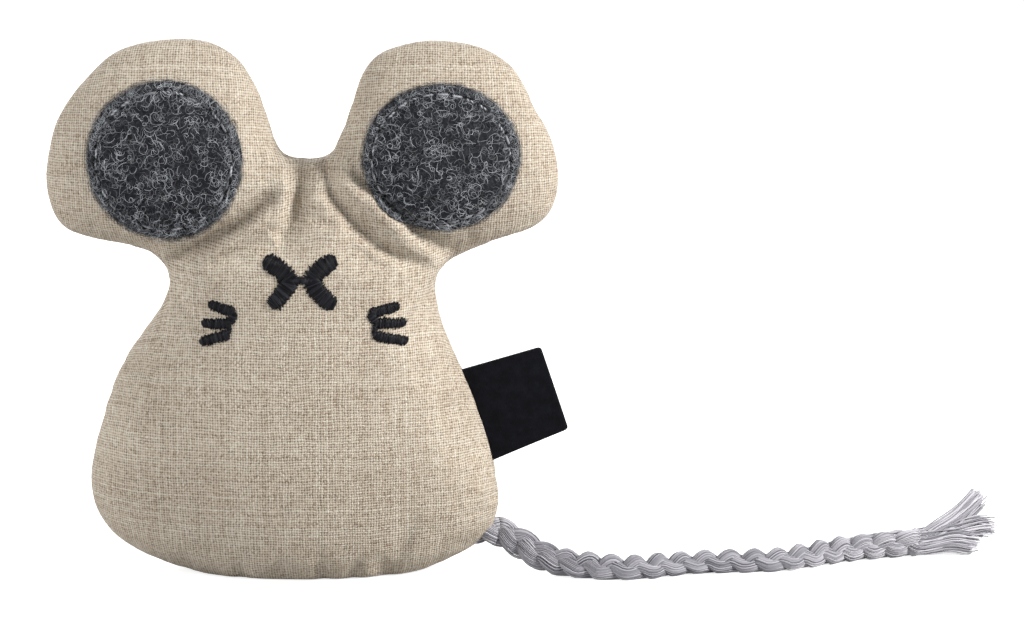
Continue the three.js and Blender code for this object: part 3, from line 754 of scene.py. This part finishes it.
def membrane(points, faces, rim_count):
    """Height of a soap film under even pressure, held at the rim."""
    count = len(points)
    pairs, weights, mass = [], [], np.zeros(count)
    for k in range(3):
        i, j, apex = faces[:, k], faces[:, (k + 1) % 3], faces[:, (k + 2) % 3]
        a, b = points[i] - points[apex], points[j] - points[apex]
        twice_area = np.abs(a[:, 0] * b[:, 1] - a[:, 1] * b[:, 0])
        pairs.append(np.stack([i, j], 1))
        weights.append(0.5 * np.sum(a * b, 1) / np.maximum(twice_area, 1e-9))
        mass += np.bincount(i, twice_area / 6, count)
    pairs, weights = np.vstack(pairs), np.concatenate(weights)
    free = np.arange(count) >= rim_count

    def stiffness(u):
        pull = weights * (u[pairs[:, 0]] - u[pairs[:, 1]])
        total = np.bincount(pairs[:, 0], pull, count) - np.bincount(pairs[:, 1], pull, count)
        return total * free

    height = np.zeros(count)
    rest = mass * free
    search, size = rest.copy(), rest @ rest
    for _ in range(600):
        pulled = stiffness(search)
        share = size / (search @ pulled)
        height += share * search
        rest -= share * pulled
        new_size = rest @ rest
        if new_size < 1e-10:
            break
        search = rest + search * new_size / size
        size = new_size
    return np.maximum(height, 0)


def fold_depth(points, folds):
    """How far the cloth is drawn in by its folds."""
    depth = np.zeros(len(points))
    for line, deep, left, right in folds:
        line = even(curve_through(line), 0.4)
        gap, number = nearest(points, line)
        away, heading = points - line[number], np.gradient(line, axis=0)[number]
        half = np.where(heading[:, 0] * away[:, 1] > heading[:, 1] * away[:, 0], left, right)
        along = number / (len(line) - 1)
        fade = np.sin(np.pi * np.clip(0.1 + 0.8 * along, 0, 1)) ** 0.6
        depth += deep * fade * np.exp(-((gap / half) ** 2))
    return depth


def unrolled(points, faces, flat, rim_count):
    """Places on the flat cloth, laid out from the swell's tops to the seam at the cloth's own length."""
    edges = np.vstack([faces[:, [0, 1]], faces[:, [1, 2]], faces[:, [2, 0]]])
    a, b = np.unique(np.sort(edges, 1), axis=0).T
    ends, others = np.concatenate([a, b]), np.concatenate([b, a])
    others = others[np.argsort(ends, kind="stable")]
    count = np.bincount(ends)
    groups = np.split(others, np.cumsum(count)[:-1])
    depth = np.abs(points[:, 1])
    spread = np.zeros_like(flat)
    for k in np.argsort(-depth):
        higher = groups[k][depth[groups[k]] > depth[k]]
        if len(higher):
            run = flat[k] - flat[higher]
            length = lengths(run)[:, None]
            more = lengths(points[k] - points[higher])[:, None] / length - 1
            weight = ((depth[higher] - depth[k])[:, None] / length) ** 2
            spread[k] = np.sum(weight * (spread[higher] + more * run), 0) / np.sum(weight)
    rim = flat[:rim_count]
    ahead, behind = np.roll(rim, -BEND_REACH, 0) - rim, rim - np.roll(rim, BEND_REACH, 0)
    bend = ahead[:, 1] * behind[:, 0] - ahead[:, 0] * behind[:, 1]
    bend /= BEND_REACH * CLOTH_SPACING * lengths(ahead) * lengths(behind)
    room = HOLLOW_SHARE / np.maximum(-bend, 1e-6)
    share = np.minimum(1, room / lengths(spread[:rim_count]))
    for _ in range(6):
        share = (np.roll(share, 1) + share + np.roll(share, -1)) / 3
    spread *= share[nearest(flat, rim)[1]][:, None]
    for _ in range(SPREAD_SMOOTHING):
        total = np.stack([np.bincount(ends, spread[np.concatenate([b, a]), k]) for k in range(2)], 1)
        spread = 0.5 * spread + 0.5 * total / count[:, None]
    return flat + spread


def settled(skin, held):
    """Settles the skin as loose cloth, pressed out by its filling and held where it is sewn."""
    rest = rows_of(skin.data.vertices, "co", 3)
    skin.data.vertices.foreach_set("co", rest.ravel() * SOLVER_SCALE)
    group = skin.vertex_groups.new(name="held")
    group.add(np.nonzero(held)[0].tolist(), 1, "REPLACE")
    modifier = skin.modifiers.new("settle", "CLOTH")
    cloth = modifier.settings
    for name, value in LINEN_CLOTH.items():
        setattr(cloth, name, value)
    cloth.vertex_group_mass = "held"
    cloth.effector_weights.gravity = 0
    modifier.collision_settings.use_collision = False
    modifier.point_cache.frame_end = SOLVER_FRAMES
    scene = bpy.context.scene
    for number in range(1, SOLVER_FRAMES + 1):
        scene.frame_set(number)
    shown = skin.evaluated_get(bpy.context.evaluated_depsgraph_get())
    moved = rows_of(shown.data.vertices, "co", 3)
    skin.modifiers.clear()
    skin.vertex_groups.clear()
    scene.frame_set(1)
    move = moved / SOLVER_SCALE - rest
    move *= np.minimum(1, MOST_MOVE * MM / np.maximum(lengths(move), 1e-9))[:, None]
    final = rest + move * (SIDEWAYS_SHARE, 1, SIDEWAYS_SHARE)
    final[:, 2] = np.maximum(final[:, 2], 0.1 * MM)
    skin.data.vertices.foreach_set("co", final.ravel())
    skin.data.update()


def make_skin():
    """The whole stuffed skin as one mesh, with its flat places as the UV map."""
    flat, faces, rim_count, inward = flat_cloth()
    depth = SWELL * np.sqrt(membrane(flat, faces, rim_count))
    cloth = flat
    flat = flat.copy()
    flat[:rim_count] += SEAM_PINCH * inward
    place = unrolled(at_depth(flat, depth), faces, cloth, rim_count)
    sides, folds = [], []
    for sign, lines in ((-1, FRONT_FOLDS), (1, BACK_FOLDS)):
        drawn = fold_depth(flat, lines) * np.clip(depth / 4 - 0.4, 0, 1)
        side = at_depth(flat, sign * (depth - drawn))
        z = side[:, 2]
        side[:, 2] = 0.5 * (z + np.sqrt(z * z + FLOOR_SOFTNESS**2))
        sides.append(side)
        folds.append(drawn)
    front, back = sides
    back_place = place * (-1, 1) + BACK_CLOTH_SHIFT
    back_number = np.arange(len(flat)) + len(flat) - rim_count
    back_number[:rim_count] = np.arange(rim_count)
    points = np.vstack([front, back[rim_count:]])
    all_faces = np.vstack([faces, back_number[faces][:, ::-1]])
    skin = make_piece("skin", points, all_faces)
    lay_flat(skin, np.vstack([place[faces], back_place[faces][:, ::-1]]))
    pull = np.concatenate([folds[0], folds[1][rim_count:]])
    held = (np.arange(len(points)) < rim_count) | (points[:, 2] < HELD_HEIGHT) | (pull > HELD_FOLD)
    settled(skin, held)
    finer = skin.modifiers.new("finer", "SUBSURF")
    finer.levels = 1
    shown = skin.evaluated_get(bpy.context.evaluated_depsgraph_get())
    skin.modifiers.clear()
    mesh = bpy.data.meshes.new_from_object(shown)
    whole = bpy.data.objects.new("whole_skin", mesh)
    bpy.data.objects.remove(skin)
    return whole


def split_skin(whole):
    """Body and ears of the skin as pieces of their own that share their edges."""
    mesh = whole.data
    points = rows_of(mesh.vertices, "co", 3) / MM
    normals = rows_of(mesh.vertices, "normal", 3, np.float32)
    quads = rows_of(mesh.loops, "vertex_index", 1, np.int32).reshape(-1, 4)
    places = rows_of(mesh.uv_layers["cloth"].data, "uv", 2).reshape(-1, 4, 2)
    middle = points[quads].mean(1)
    crown = (joint_place("left_ear_bend")[0] + joint_place("right_ear_bend")[0]) / 2
    owner = np.zeros(len(quads), int)
    for number, side, sign in ((1, "left", -1), (2, "right", 1)):
        out = (middle - joint_place(side + "_ear_bend")) @ outward(side + "_ear_bend")
        owner[(out > EAR_CUT) & (sign * (middle[:, 0] - crown) > 0)] = number
    pieces = []
    for number, name in enumerate(("body_linen", "left_ear_linen", "right_ear_linen")):
        chosen = owner == number
        used, index = np.unique(quads[chosen], return_inverse=True)
        piece = make_piece(name, points[used], index.reshape(-1, 4))
        lay_flat(piece, places[chosen])
        piece.data.normals_split_custom_set_from_vertices(normals[used].tolist())
        pieces.append(piece)
    return pieces


def blend_ear(piece):
    blend_over(piece)


whole_skin = make_skin()
linen = linen_material()
body_linen, left_linen, right_linen = split_skin(whole_skin)
skin_tree = BVHTree.FromPolygons(
    [v.co / MM for v in whole_skin.data.vertices],
    [list(p.vertices) for p in whole_skin.data.polygons],
)
ear_linens = {"left": left_linen, "right": right_linen}
for piece, part in ((body_linen, "body"), (left_linen, "left_ear"), (right_linen, "right_ear")):
    dress(piece, linen, "linen", part + "_front_panel", part + "_back_panel")
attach(body_linen, "body")
for side, piece in ear_linens.items():
    blend_ear(piece)


def fronts(places):
    """Y of the skin's front at each X and Z."""
    starts = [Vector((x, BEFORE_SKIN, z)) for x, z in np.reshape(places, (-1, 2))]
    hits = [skin_tree.ray_cast(start, Vector((0, 1, 0)))[0] for start in starts]
    return np.reshape([hit.y for hit in hits], np.shape(places)[:-1])


# Felt linings

def make_lens(name, middle, front, back, behind):
    """A closed round piece: its middle, the rings of its front, those of its back and its far middle."""
    rings, sides = front.shape[:2]
    points = np.vstack([np.reshape(part, (-1, 3)) for part in (middle, front, back, behind)])
    side = np.arange(sides)
    following = np.roll(side, -1)
    starts = (1 + sides * np.arange(2 * rings - 1)).tolist()
    halves = (0, starts[:rings], 1), (len(points) - 1, starts[rings:] + [starts[rings - 1]], -1)
    faces = []
    for tip, outwards, step in halves:
        groups = [np.stack([np.full(sides, tip), outwards[0] + side, outwards[0] + following], 1)]
        for near, far in zip(outwards, outwards[1:]):
            groups.append(np.stack([near + side, far + side, far + following, near + following], 1))
        for group in groups:
            faces += group[:, ::step].tolist()
    return make_piece(name, points, faces)


def felt_middle(side):
    low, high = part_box(side + "_ear_felt")
    middle = (low + high) / 2 / MM
    return np.array([middle.x, middle.z]) + FELT_SHIFT[side]


def felt_rise(radius):
    """Height of the felt's face over the linen at a distance from its middle."""
    edge = np.clip((radius - FELT_RADIUS + FELT_EDGE) / FELT_EDGE, 0, 1)
    groove = FELT_GROOVE * np.exp(-(((radius - FELT_STITCH_RADIUS) / FELT_GROOVE_WIDTH) ** 2))
    return np.maximum(FELT_THICKNESS * np.sqrt(1 - edge**2) - groove, 0.05)


def felt_face(side, away):
    """Points on a felt's face at places given from its middle, as on the flat circle it was cut to."""
    radius = lengths(away)
    inner = away * np.minimum(1, FELT_RADIUS / np.maximum(radius, 1e-6))[..., None]
    y = fronts(felt_middle(side) + inner * FELT_STRETCH[side])
    places = felt_middle(side) + away * FELT_STRETCH[side]
    return at_depth(places, y - felt_rise(radius))


def circle(turn):
    return np.stack([np.cos(turn), np.sin(turn)], -1)


def make_felt(side, material):
    turn = np.arange(FELT_SIDES) * 2 * np.pi / FELT_SIDES
    edge = FELT_RADIUS - FELT_EDGE * np.array([0.7, 0.45, 0.22, 0.07, 0])
    radii = np.concatenate([np.linspace(0, FELT_RADIUS - FELT_EDGE, FELT_RINGS)[1:], edge])
    wobble = 1 + 0.005 * np.sin(5 * turn + 1.3) + 0.004 * np.sin(11 * turn) + 0.003 * np.sin(23 * turn)
    away = radii[:, None, None] * circle(turn) * wobble[:, None]
    front = felt_face(side, away)
    back = front[:-1].copy()
    back[..., 1] += felt_rise(radii[:-1])[:, None] + FELT_SUNK
    spots = [Vector(point) for point in front.reshape(-1, 3)]
    lumps = [fields.noise(spot * 0.9) + 0.6 * fields.noise(spot * 2.3) for spot in spots]
    front[..., 1] += FELT_LUMPS * np.reshape(lumps, front.shape[:2])
    centre = felt_face(side, np.zeros((1, 2)))
    behind = centre + (0, FELT_THICKNESS + FELT_SUNK, 0)
    felt = make_lens(side + "_felt", centre, front, back, behind)
    dress(felt, material, "felt", side + "_ear_felt")
    blend_ear(felt)


def make_fibres(side, part, material):
    """Loose curly wool fibres all over a felt's face, or round its edge, paler there as a painted
    highlight.
    """
    count = FELT_FIBRES[part]
    inner = FELT_STITCH_RADIUS if part == "edge" else 0
    radius = np.sqrt(random.uniform(inner**2, FELT_RADIUS**2, count))
    start = radius[:, None] * circle(random.uniform(0, 2 * np.pi, count))
    length = random.uniform(*FIBRE_LENGTHS, count)
    tight = random.uniform(0, 1, count) < TIGHT_SHARE
    curl = np.where(tight, random.uniform(*TIGHT_CURLS, count), random.uniform(*LOOSE_CURLS, count))
    curl *= random.choice([-1, 1], count)
    step = length / (FIBRE_POINTS - 1)
    bends = (curl * step)[:, None] * np.arange(FIBRE_POINTS) + random.uniform(0, 2 * np.pi, (count, 1))
    bends += random.normal(0, 0.25, bends.shape)
    away = start[:, None] + np.cumsum(step[:, None, None] * circle(bends), 1)
    reach = lengths(away)[..., None]
    away *= np.minimum(1, (FELT_RADIUS + random.uniform(-0.3, 1.1, (count, 1, 1))) / reach)
    lines = felt_face(side, away)
    tone = random.uniform(0, 1, count)
    t = np.linspace(0, 1, FIBRE_POINTS)
    # Paler fibres lie higher: the wool's own mix of tones, with the low dark ones adding painted shade
    # under the top ones.
    lift = (0.08 + 0.42 * tone)[:, None] * (np.sin(np.pi * t) ** 0.5 * 1.2 - 0.2)
    lines[..., 1] -= lift + random.normal(0, 0.05, lift.shape)
    x, z = start.T
    patches = 1 + 0.5 * np.sin(0.5 * x + 2 * np.sin(0.3 * z)) * np.sin(0.6 * z)
    # Edge fibres come out paler, a painted highlight on the rim.
    tones = np.clip(tone ** FIBRE_DARKNESS[part] * patches, 0, 1)
    fibres = tubes(f"{side}_felt_{part}_fibres", lines, FIBRE_RADIUS, 3, tones)
    dress(fibres, material, "felt")
    blend_ear(fibres)


def twisted(lines, offset, plies, pitch):
    """Lines of twisted plies that wind round each of the given lines."""
    lines = np.asarray(lines, float)
    along = unit(np.gradient(lines, axis=1))
    across = unit(np.cross(along, [0, 1.0, 0]))
    third = np.cross(along, across)
    run = np.cumsum(lengths(np.diff(lines, axis=1, prepend=lines[:, :1])), 1)
    wound = []
    for ply in range(plies):
        phase = 2 * np.pi * (run / pitch + ply / plies)
        away = np.cos(phase)[..., None] * across + np.sin(phase)[..., None] * third
        wound.append(lines + offset * away)
    return np.concatenate(wound)


def make_felt_stitching(side, material):
    """Running stitch that holds a felt, sunk in its groove."""
    pitch = 2 * np.pi / FELT_STITCHES
    first = np.arange(FELT_STITCHES) * pitch + random.uniform(-0.015, 0.015, FELT_STITCHES)
    t = np.linspace(0, 1, 14)
    turn = first[:, None] + pitch * STITCHED_SHARE * t
    radius = FELT_STITCH_RADIUS + random.uniform(-0.2, 0.2, (FELT_STITCHES, 1)) + 0 * turn
    lines = felt_face(side, radius[..., None] * circle(turn))
    rise = random.uniform(0.3, 1.2, (FELT_STITCHES, 1))
    lines[..., 1] -= rise * np.sin(np.pi * t) ** 0.5 - 0.3 * (t - 0.5) ** 4 * 16
    thread = twisted(lines, PLY_OFFSET, 2, PLY_PITCH)
    tones = random.uniform(0, 1, len(thread)) ** 2
    stitching = tubes(side + "_felt_stitches", thread, PLY_RADIUS, 6, tones)
    dress(stitching, material, "stitching_thread", side + "_ear_felt_stitching")
    blend_ear(stitching)


felt_surface = simple_material("felt", colour(24, 25, 29), colour(58, 60, 65), 900, 0.95, 0.5)
wool = fibre_material("wool_fibre", colour(34, 35, 40), colour(214, 218, 224), 0.85, 0, 0.1)
grey_thread = fibre_material("grey_thread", colour(64, 66, 72), colour(176, 178, 184), 0.6, 0.1)
for side in ("left", "right"):
    make_felt(side, felt_surface)
    for part in FELT_FIBRES:
        make_fibres(side, part, wool)
    make_felt_stitching(side, grey_thread)


# Embroidered face

def satin_lines(spine, widths):
    """Threads laid side by side across a line on the skin, in two layers."""
    line = even(curve_through(spine) if len(spine) > 2 else spine, STITCH_PITCH)
    lines = []
    for layer, rise in enumerate((0.55, 1)):
        middle = line if layer == 0 else (line[1:] + line[:-1]) / 2
        along = unit(np.gradient(middle, axis=0))
        across = np.stack([-along[:, 1], along[:, 0]], 1)
        count = len(middle)
        share = np.linspace(0, 1, count)
        width = np.interp(share, np.linspace(0, 1, len(widths)), widths)
        end = np.clip(1 - np.minimum(share, 1 - share) * count * STITCH_PITCH / (0.36 * width), 0, 1)
        rounding = np.sqrt(1 - 0.8 * end**2)
        teeth = 1 + 0.09 * (-1) ** np.arange(count) + random.normal(0, 0.05, count)
        half = width / 2 * rounding * np.repeat(teeth, 2)[:count]
        slant = random.normal(0, 0.12, count)
        t = np.linspace(-1, 1, 9)
        shift = random.normal(0, 0.12, count)
        places = (
            middle[:, None]
            + across[:, None] * (half[:, None] * t + shift[:, None])[..., None]
            + along[:, None] * (slant[:, None] * t)[..., None]
        )
        dome = STITCH_RISE * rise * (1 - t**2) ** 0.5 - 0.35 * t**8
        y = fronts(places) - dome - random.normal(0, 0.03, (count, 1))
        lines.append(at_depth(places, y))
    return np.concatenate(lines)


def make_satin(name, node, bars, material):
    lines = np.concatenate([satin_lines(spine, widths) for spine, widths in bars])
    piece = tubes(name, lines, STITCH_RADIUS, 5, random.uniform(0, 1, len(lines)) ** 2)
    dress(piece, material, "embroidery_thread", node)
    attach(piece, "body")


def make_face(material):
    for side, spine in NOSE.items():
        bars = [(spine, NOSE_WIDTHS)]
        if side == "left":
            bars.append(([NOSE["left"][2], NOSE["right"][2]], (NOSE_LINK_WIDTH, NOSE_LINK_WIDTH)))
        make_satin("nose_" + side + "_threads", "nose_" + side + "_stroke", bars, material)
    for side in ("left", "right"):
        above = None
        for height, link in (("upper", 0), ("middle", 2 * LINK_WIDTH), ("lower", LINK_WIDTH)):
            spine = WHISKERS[side + "_" + height]
            bars = [(spine, WHISKER_WIDTHS)]
            if above:
                bars.append(([above, spine[0]], (link, link)))
            name = "whisker_" + side + "_" + height
            make_satin(name + "_threads", name, bars, material)
            above = spine[0]


black_thread = fibre_material("black_thread", colour(5, 5, 8), colour(38, 39, 44), 0.36, 0, 0.08)
make_face(black_thread)


# Label

def label_material():
    """Satin tape: fine ribs along the tape, crossed by fainter yarns."""
    material, tree, shader = new_material("label_tape")
    place = add(tree, "UVMap", {}, uv_map="cloth").outputs[0]
    along, across = add(tree, "SeparateXYZ", {0: place}).outputs[:2]
    rib = calc("SINE", times(across, 2 * math.pi / LABEL_RIB))
    yarn = calc("SINE", times(along, 2 * math.pi / LABEL_YARN))
    weave = plus(rib, times(yarn, 0.35))
    tone = plus(times(weave, 0.12), noise(place, 0.35, 3.0, 0.6))
    base = ramp(tone, [(0.3, colour(4, 4, 7)), (0.75, colour(17, 18, 24))])
    finish_material(shader, base, 0.6, weave, rise=0.03, specular=0.06)
    return material


def make_label(material):
    """A tape folded in two, its fold outside and its ends sewn into the side seam."""
    inner, outer = np.array(LABEL_INNER, float), np.array(LABEL_OUTER, float)
    width = lengths(outer - inner).mean()
    height = np.linalg.norm(inner[1] - inner[0])
    straight = np.linspace(-LABEL_TUCK, width - LABEL_FOLD_RADIUS, LABEL_STEPS)
    turn = np.linspace(-np.pi / 2, np.pi / 2, 9)[1:-1]

    def path(radius):
        """The tape's section at a distance from the middle of the fold: along the tape and across it."""
        front = np.stack([straight, np.full(LABEL_STEPS, -radius)], 1)
        bend = np.stack([width - LABEL_FOLD_RADIUS + radius * np.cos(turn), radius * np.sin(turn)], 1)
        return np.vstack([front, bend, front[::-1] * (1, -1)])

    wide, narrow = path(LABEL_FOLD_RADIUS + LABEL_LAYER / 2), path(LABEL_FOLD_RADIUS - LABEL_LAYER / 2)
    section = np.vstack([wide, narrow[::-1]])
    run = run_along(wide)
    run = np.concatenate([run, run[::-1]])
    ends = LABEL_CORNER * (1 - np.cos(np.linspace(0, np.pi / 2, 6)))
    between = np.linspace(ends[-1], height - ends[-1], LABEL_STEPS)[1:-1]
    rows = np.concatenate([ends, between, height - ends[::-1]])
    points, flat = [], []
    for row in rows:
        share = row / height
        start = inner[0] + share * (inner[1] - inner[0])
        out = unit(outer[0] + share * (outer[1] - outer[0]) - start)
        near = max(0, LABEL_CORNER - min(row, height - row))
        reach = 1 - (LABEL_CORNER - math.sqrt(LABEL_CORNER**2 - near**2)) / width
        along = np.where(section[:, 0] > 0, section[:, 0] * reach, section[:, 0])
        bow = LABEL_BOW * (along / width) ** 2 * (0.4 + math.cos(2.2 * share + 0.3))
        place = start + along[:, None] * out
        points.append(at_depth(place, section[:, 1] - bow))
        flat.append(np.stack([run, np.full(len(run), row)], 1))
    size = len(section)
    strip = np.arange(len(wide) - 1)
    cap = np.stack([strip, size - 1 - strip, size - 2 - strip, strip + 1], 1)
    far_cap = (len(rows) - 1) * size + cap[:, ::-1]
    faces = np.vstack([ring_walls(len(rows), size), cap, far_cap])
    label = make_piece("side_label_tape", np.vstack(points), faces)
    corners = rows_of(label.data.loops, "vertex_index", 1, np.int32)[:, 0]
    lay_flat(label, np.vstack(flat)[corners])
    dress(label, material, "label_tape", "side_label")
    blend_over(label)


make_label(label_material())


# Filling and pouch inside

def make_wadding(node, material):
    """The CAD filling as loose wadding, drawn back from the skin."""
    piece = put_in_scene("filling", frame["nodes"][node].data.copy())
    piece.data.materials.clear()
    remesh = piece.modifiers.new("grain", "REMESH")
    remesh.mode = "VOXEL"
    remesh.voxel_size = WADDING_GRAIN * MM
    shown = piece.evaluated_get(bpy.context.evaluated_depsgraph_get())
    mesh = bpy.data.meshes.new_from_object(shown)
    points = rows_of(mesh.vertices, "co", 3) / MM
    faces = [list(p.vertices) for p in mesh.polygons]
    bpy.data.objects.remove(piece)
    middle = (points.min(0) + points.max(0)) / 2
    points = middle + (points - middle) * WADDING_SHARE
    for k, point in enumerate(points):
        place, normal, _, _ = skin_tree.find_nearest(Vector(point))
        depth = (place - Vector(point)).dot(normal)
        lack = WADDING_CLEARANCE + 0.6 * fields.noise(Vector(point) * 0.25) - depth
        if lack > 0:
            points[k] -= np.array(normal) * lack
    wadding = make_piece(node.replace("filling", "wadding"), points, faces)
    dress(wadding, material, "filling", node)
    return wadding


def make_pouch(material):
    """A small pillow of dried leaf with a pressed rim."""
    low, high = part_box("catnip_pouch")
    middle, half = np.array((low + high) / 2) / MM, np.array((high - low) / 2) / MM
    turn = np.arange(POUCH_SIDES) * 2 * np.pi / POUCH_SIDES
    radii = np.concatenate([np.linspace(0, 0.86, 16)[1:], [0.9, 0.95, 1]])
    ring = np.sign(circle(turn)) * np.abs(circle(turn)) ** 0.6
    places = radii[:, None, None] * ring
    swell = np.sqrt(np.clip(1 - (radii / POUCH_RIM) ** 2, 0, 1)) * 0.92 + 0.04
    swell[-1] = 0
    lumps = np.array([fields.noise(Vector((x * 4, z * 4, 0.5))) for x, z in places.reshape(-1, 2)])
    depth = swell[:, None] * (1 - 0.08 + 0.08 * lumps.reshape(places.shape[:2]))
    front = middle + half * at_depth(places, -depth)
    back = middle + half * at_depth(places, depth)
    tip = half * (0, 0.9, 0)
    pouch = make_lens("catnip_sachet", middle - tip, front, back[:-1], middle + tip)
    dress(pouch, material, "catnip", "catnip_pouch")
    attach(pouch, "body")


white_wool = simple_material("wadding", colour(214, 212, 206), colour(248, 247, 244), 350, 0.95, 0.6)
for part in ("front", "back"):
    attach(make_wadding("body_filling_" + part, white_wool), "body")
for side in ("left", "right"):
    blend_ear(make_wadding(side + "_ear_filling", white_wool))
make_pouch(simple_material("dried_leaf", colour(84, 92, 52), colour(150, 148, 96), 700, 0.9, 0.4))


# Stage and light

def background_rays(tree):
    """1 for the rays that show the background, straight, mirrored or through glass, and else 0."""
    rays = add(tree, "LightPath", {}).outputs
    indirect = calc("MAXIMUM", rays["Is Glossy Ray"], rays["Is Transmission Ray"])
    return calc("MAXIMUM", rays["Is Camera Ray"], indirect)


def make_stage():
    mesh = bpy.data.meshes.new("floor")
    corners = [(-1, -1), (1, -1), (1, 1), (-1, 1)]
    mesh.from_pydata([(FLOOR_REACH * x, FLOOR_REACH * y, 0) for x, y in corners], [], [range(4)])
    floor = put_in_scene("floor", mesh)
    material, tree, shader = new_material("floor")
    finish_material(shader, (0.5, 0.5, 0.5, 1), 0.9, specular=0.5)
    shader.inputs["Emission Color"].default_value = (1, 1, 1, 1)
    put(shader.inputs["Emission Strength"], times(background_rays(tree), FLOOR_GLOW))
    mesh.materials.append(material)


def make_light(name, place, size, power, tint):
    data = bpy.data.lights.new(name, "AREA")
    data.shape = "DISK"
    data.size = size
    data.energy = power
    data.color = tint
    lamp = put_in_scene(name, data)
    lamp.location = place
    lamp.rotation_euler = (Vector(LAMP_AIM) - Vector(place)).to_track_quat("-Z", "Y").to_euler()


def make_world():
    world = bpy.data.worlds.new("studio")
    world.use_nodes = True
    tree = world.node_tree
    tree.nodes.clear()
    strength = add(tree, "MapRange", {0: background_rays(tree), 3: SKY_LIGHT, 4: 1.0}).outputs[0]
    sky = add(tree, "Background", {"Color": (1, 1, 1, 1), "Strength": strength})
    add(tree, "OutputWorld", {"Surface": sky.outputs[0]})
    bpy.context.scene.world = world


make_stage()
make_light("key", (1, -0.42, 0.62), 0.45, 25, (1, 0.99, 0.97))
make_light("fill", (-1, -0.45, 0.45), 0.9, 11, (1, 1, 1))
make_light("back", (-0.25, 1, 0.55), 0.8, 12, (1, 1, 1))
make_world()
bpy.context.scene.view_settings.view_transform = "Standard"
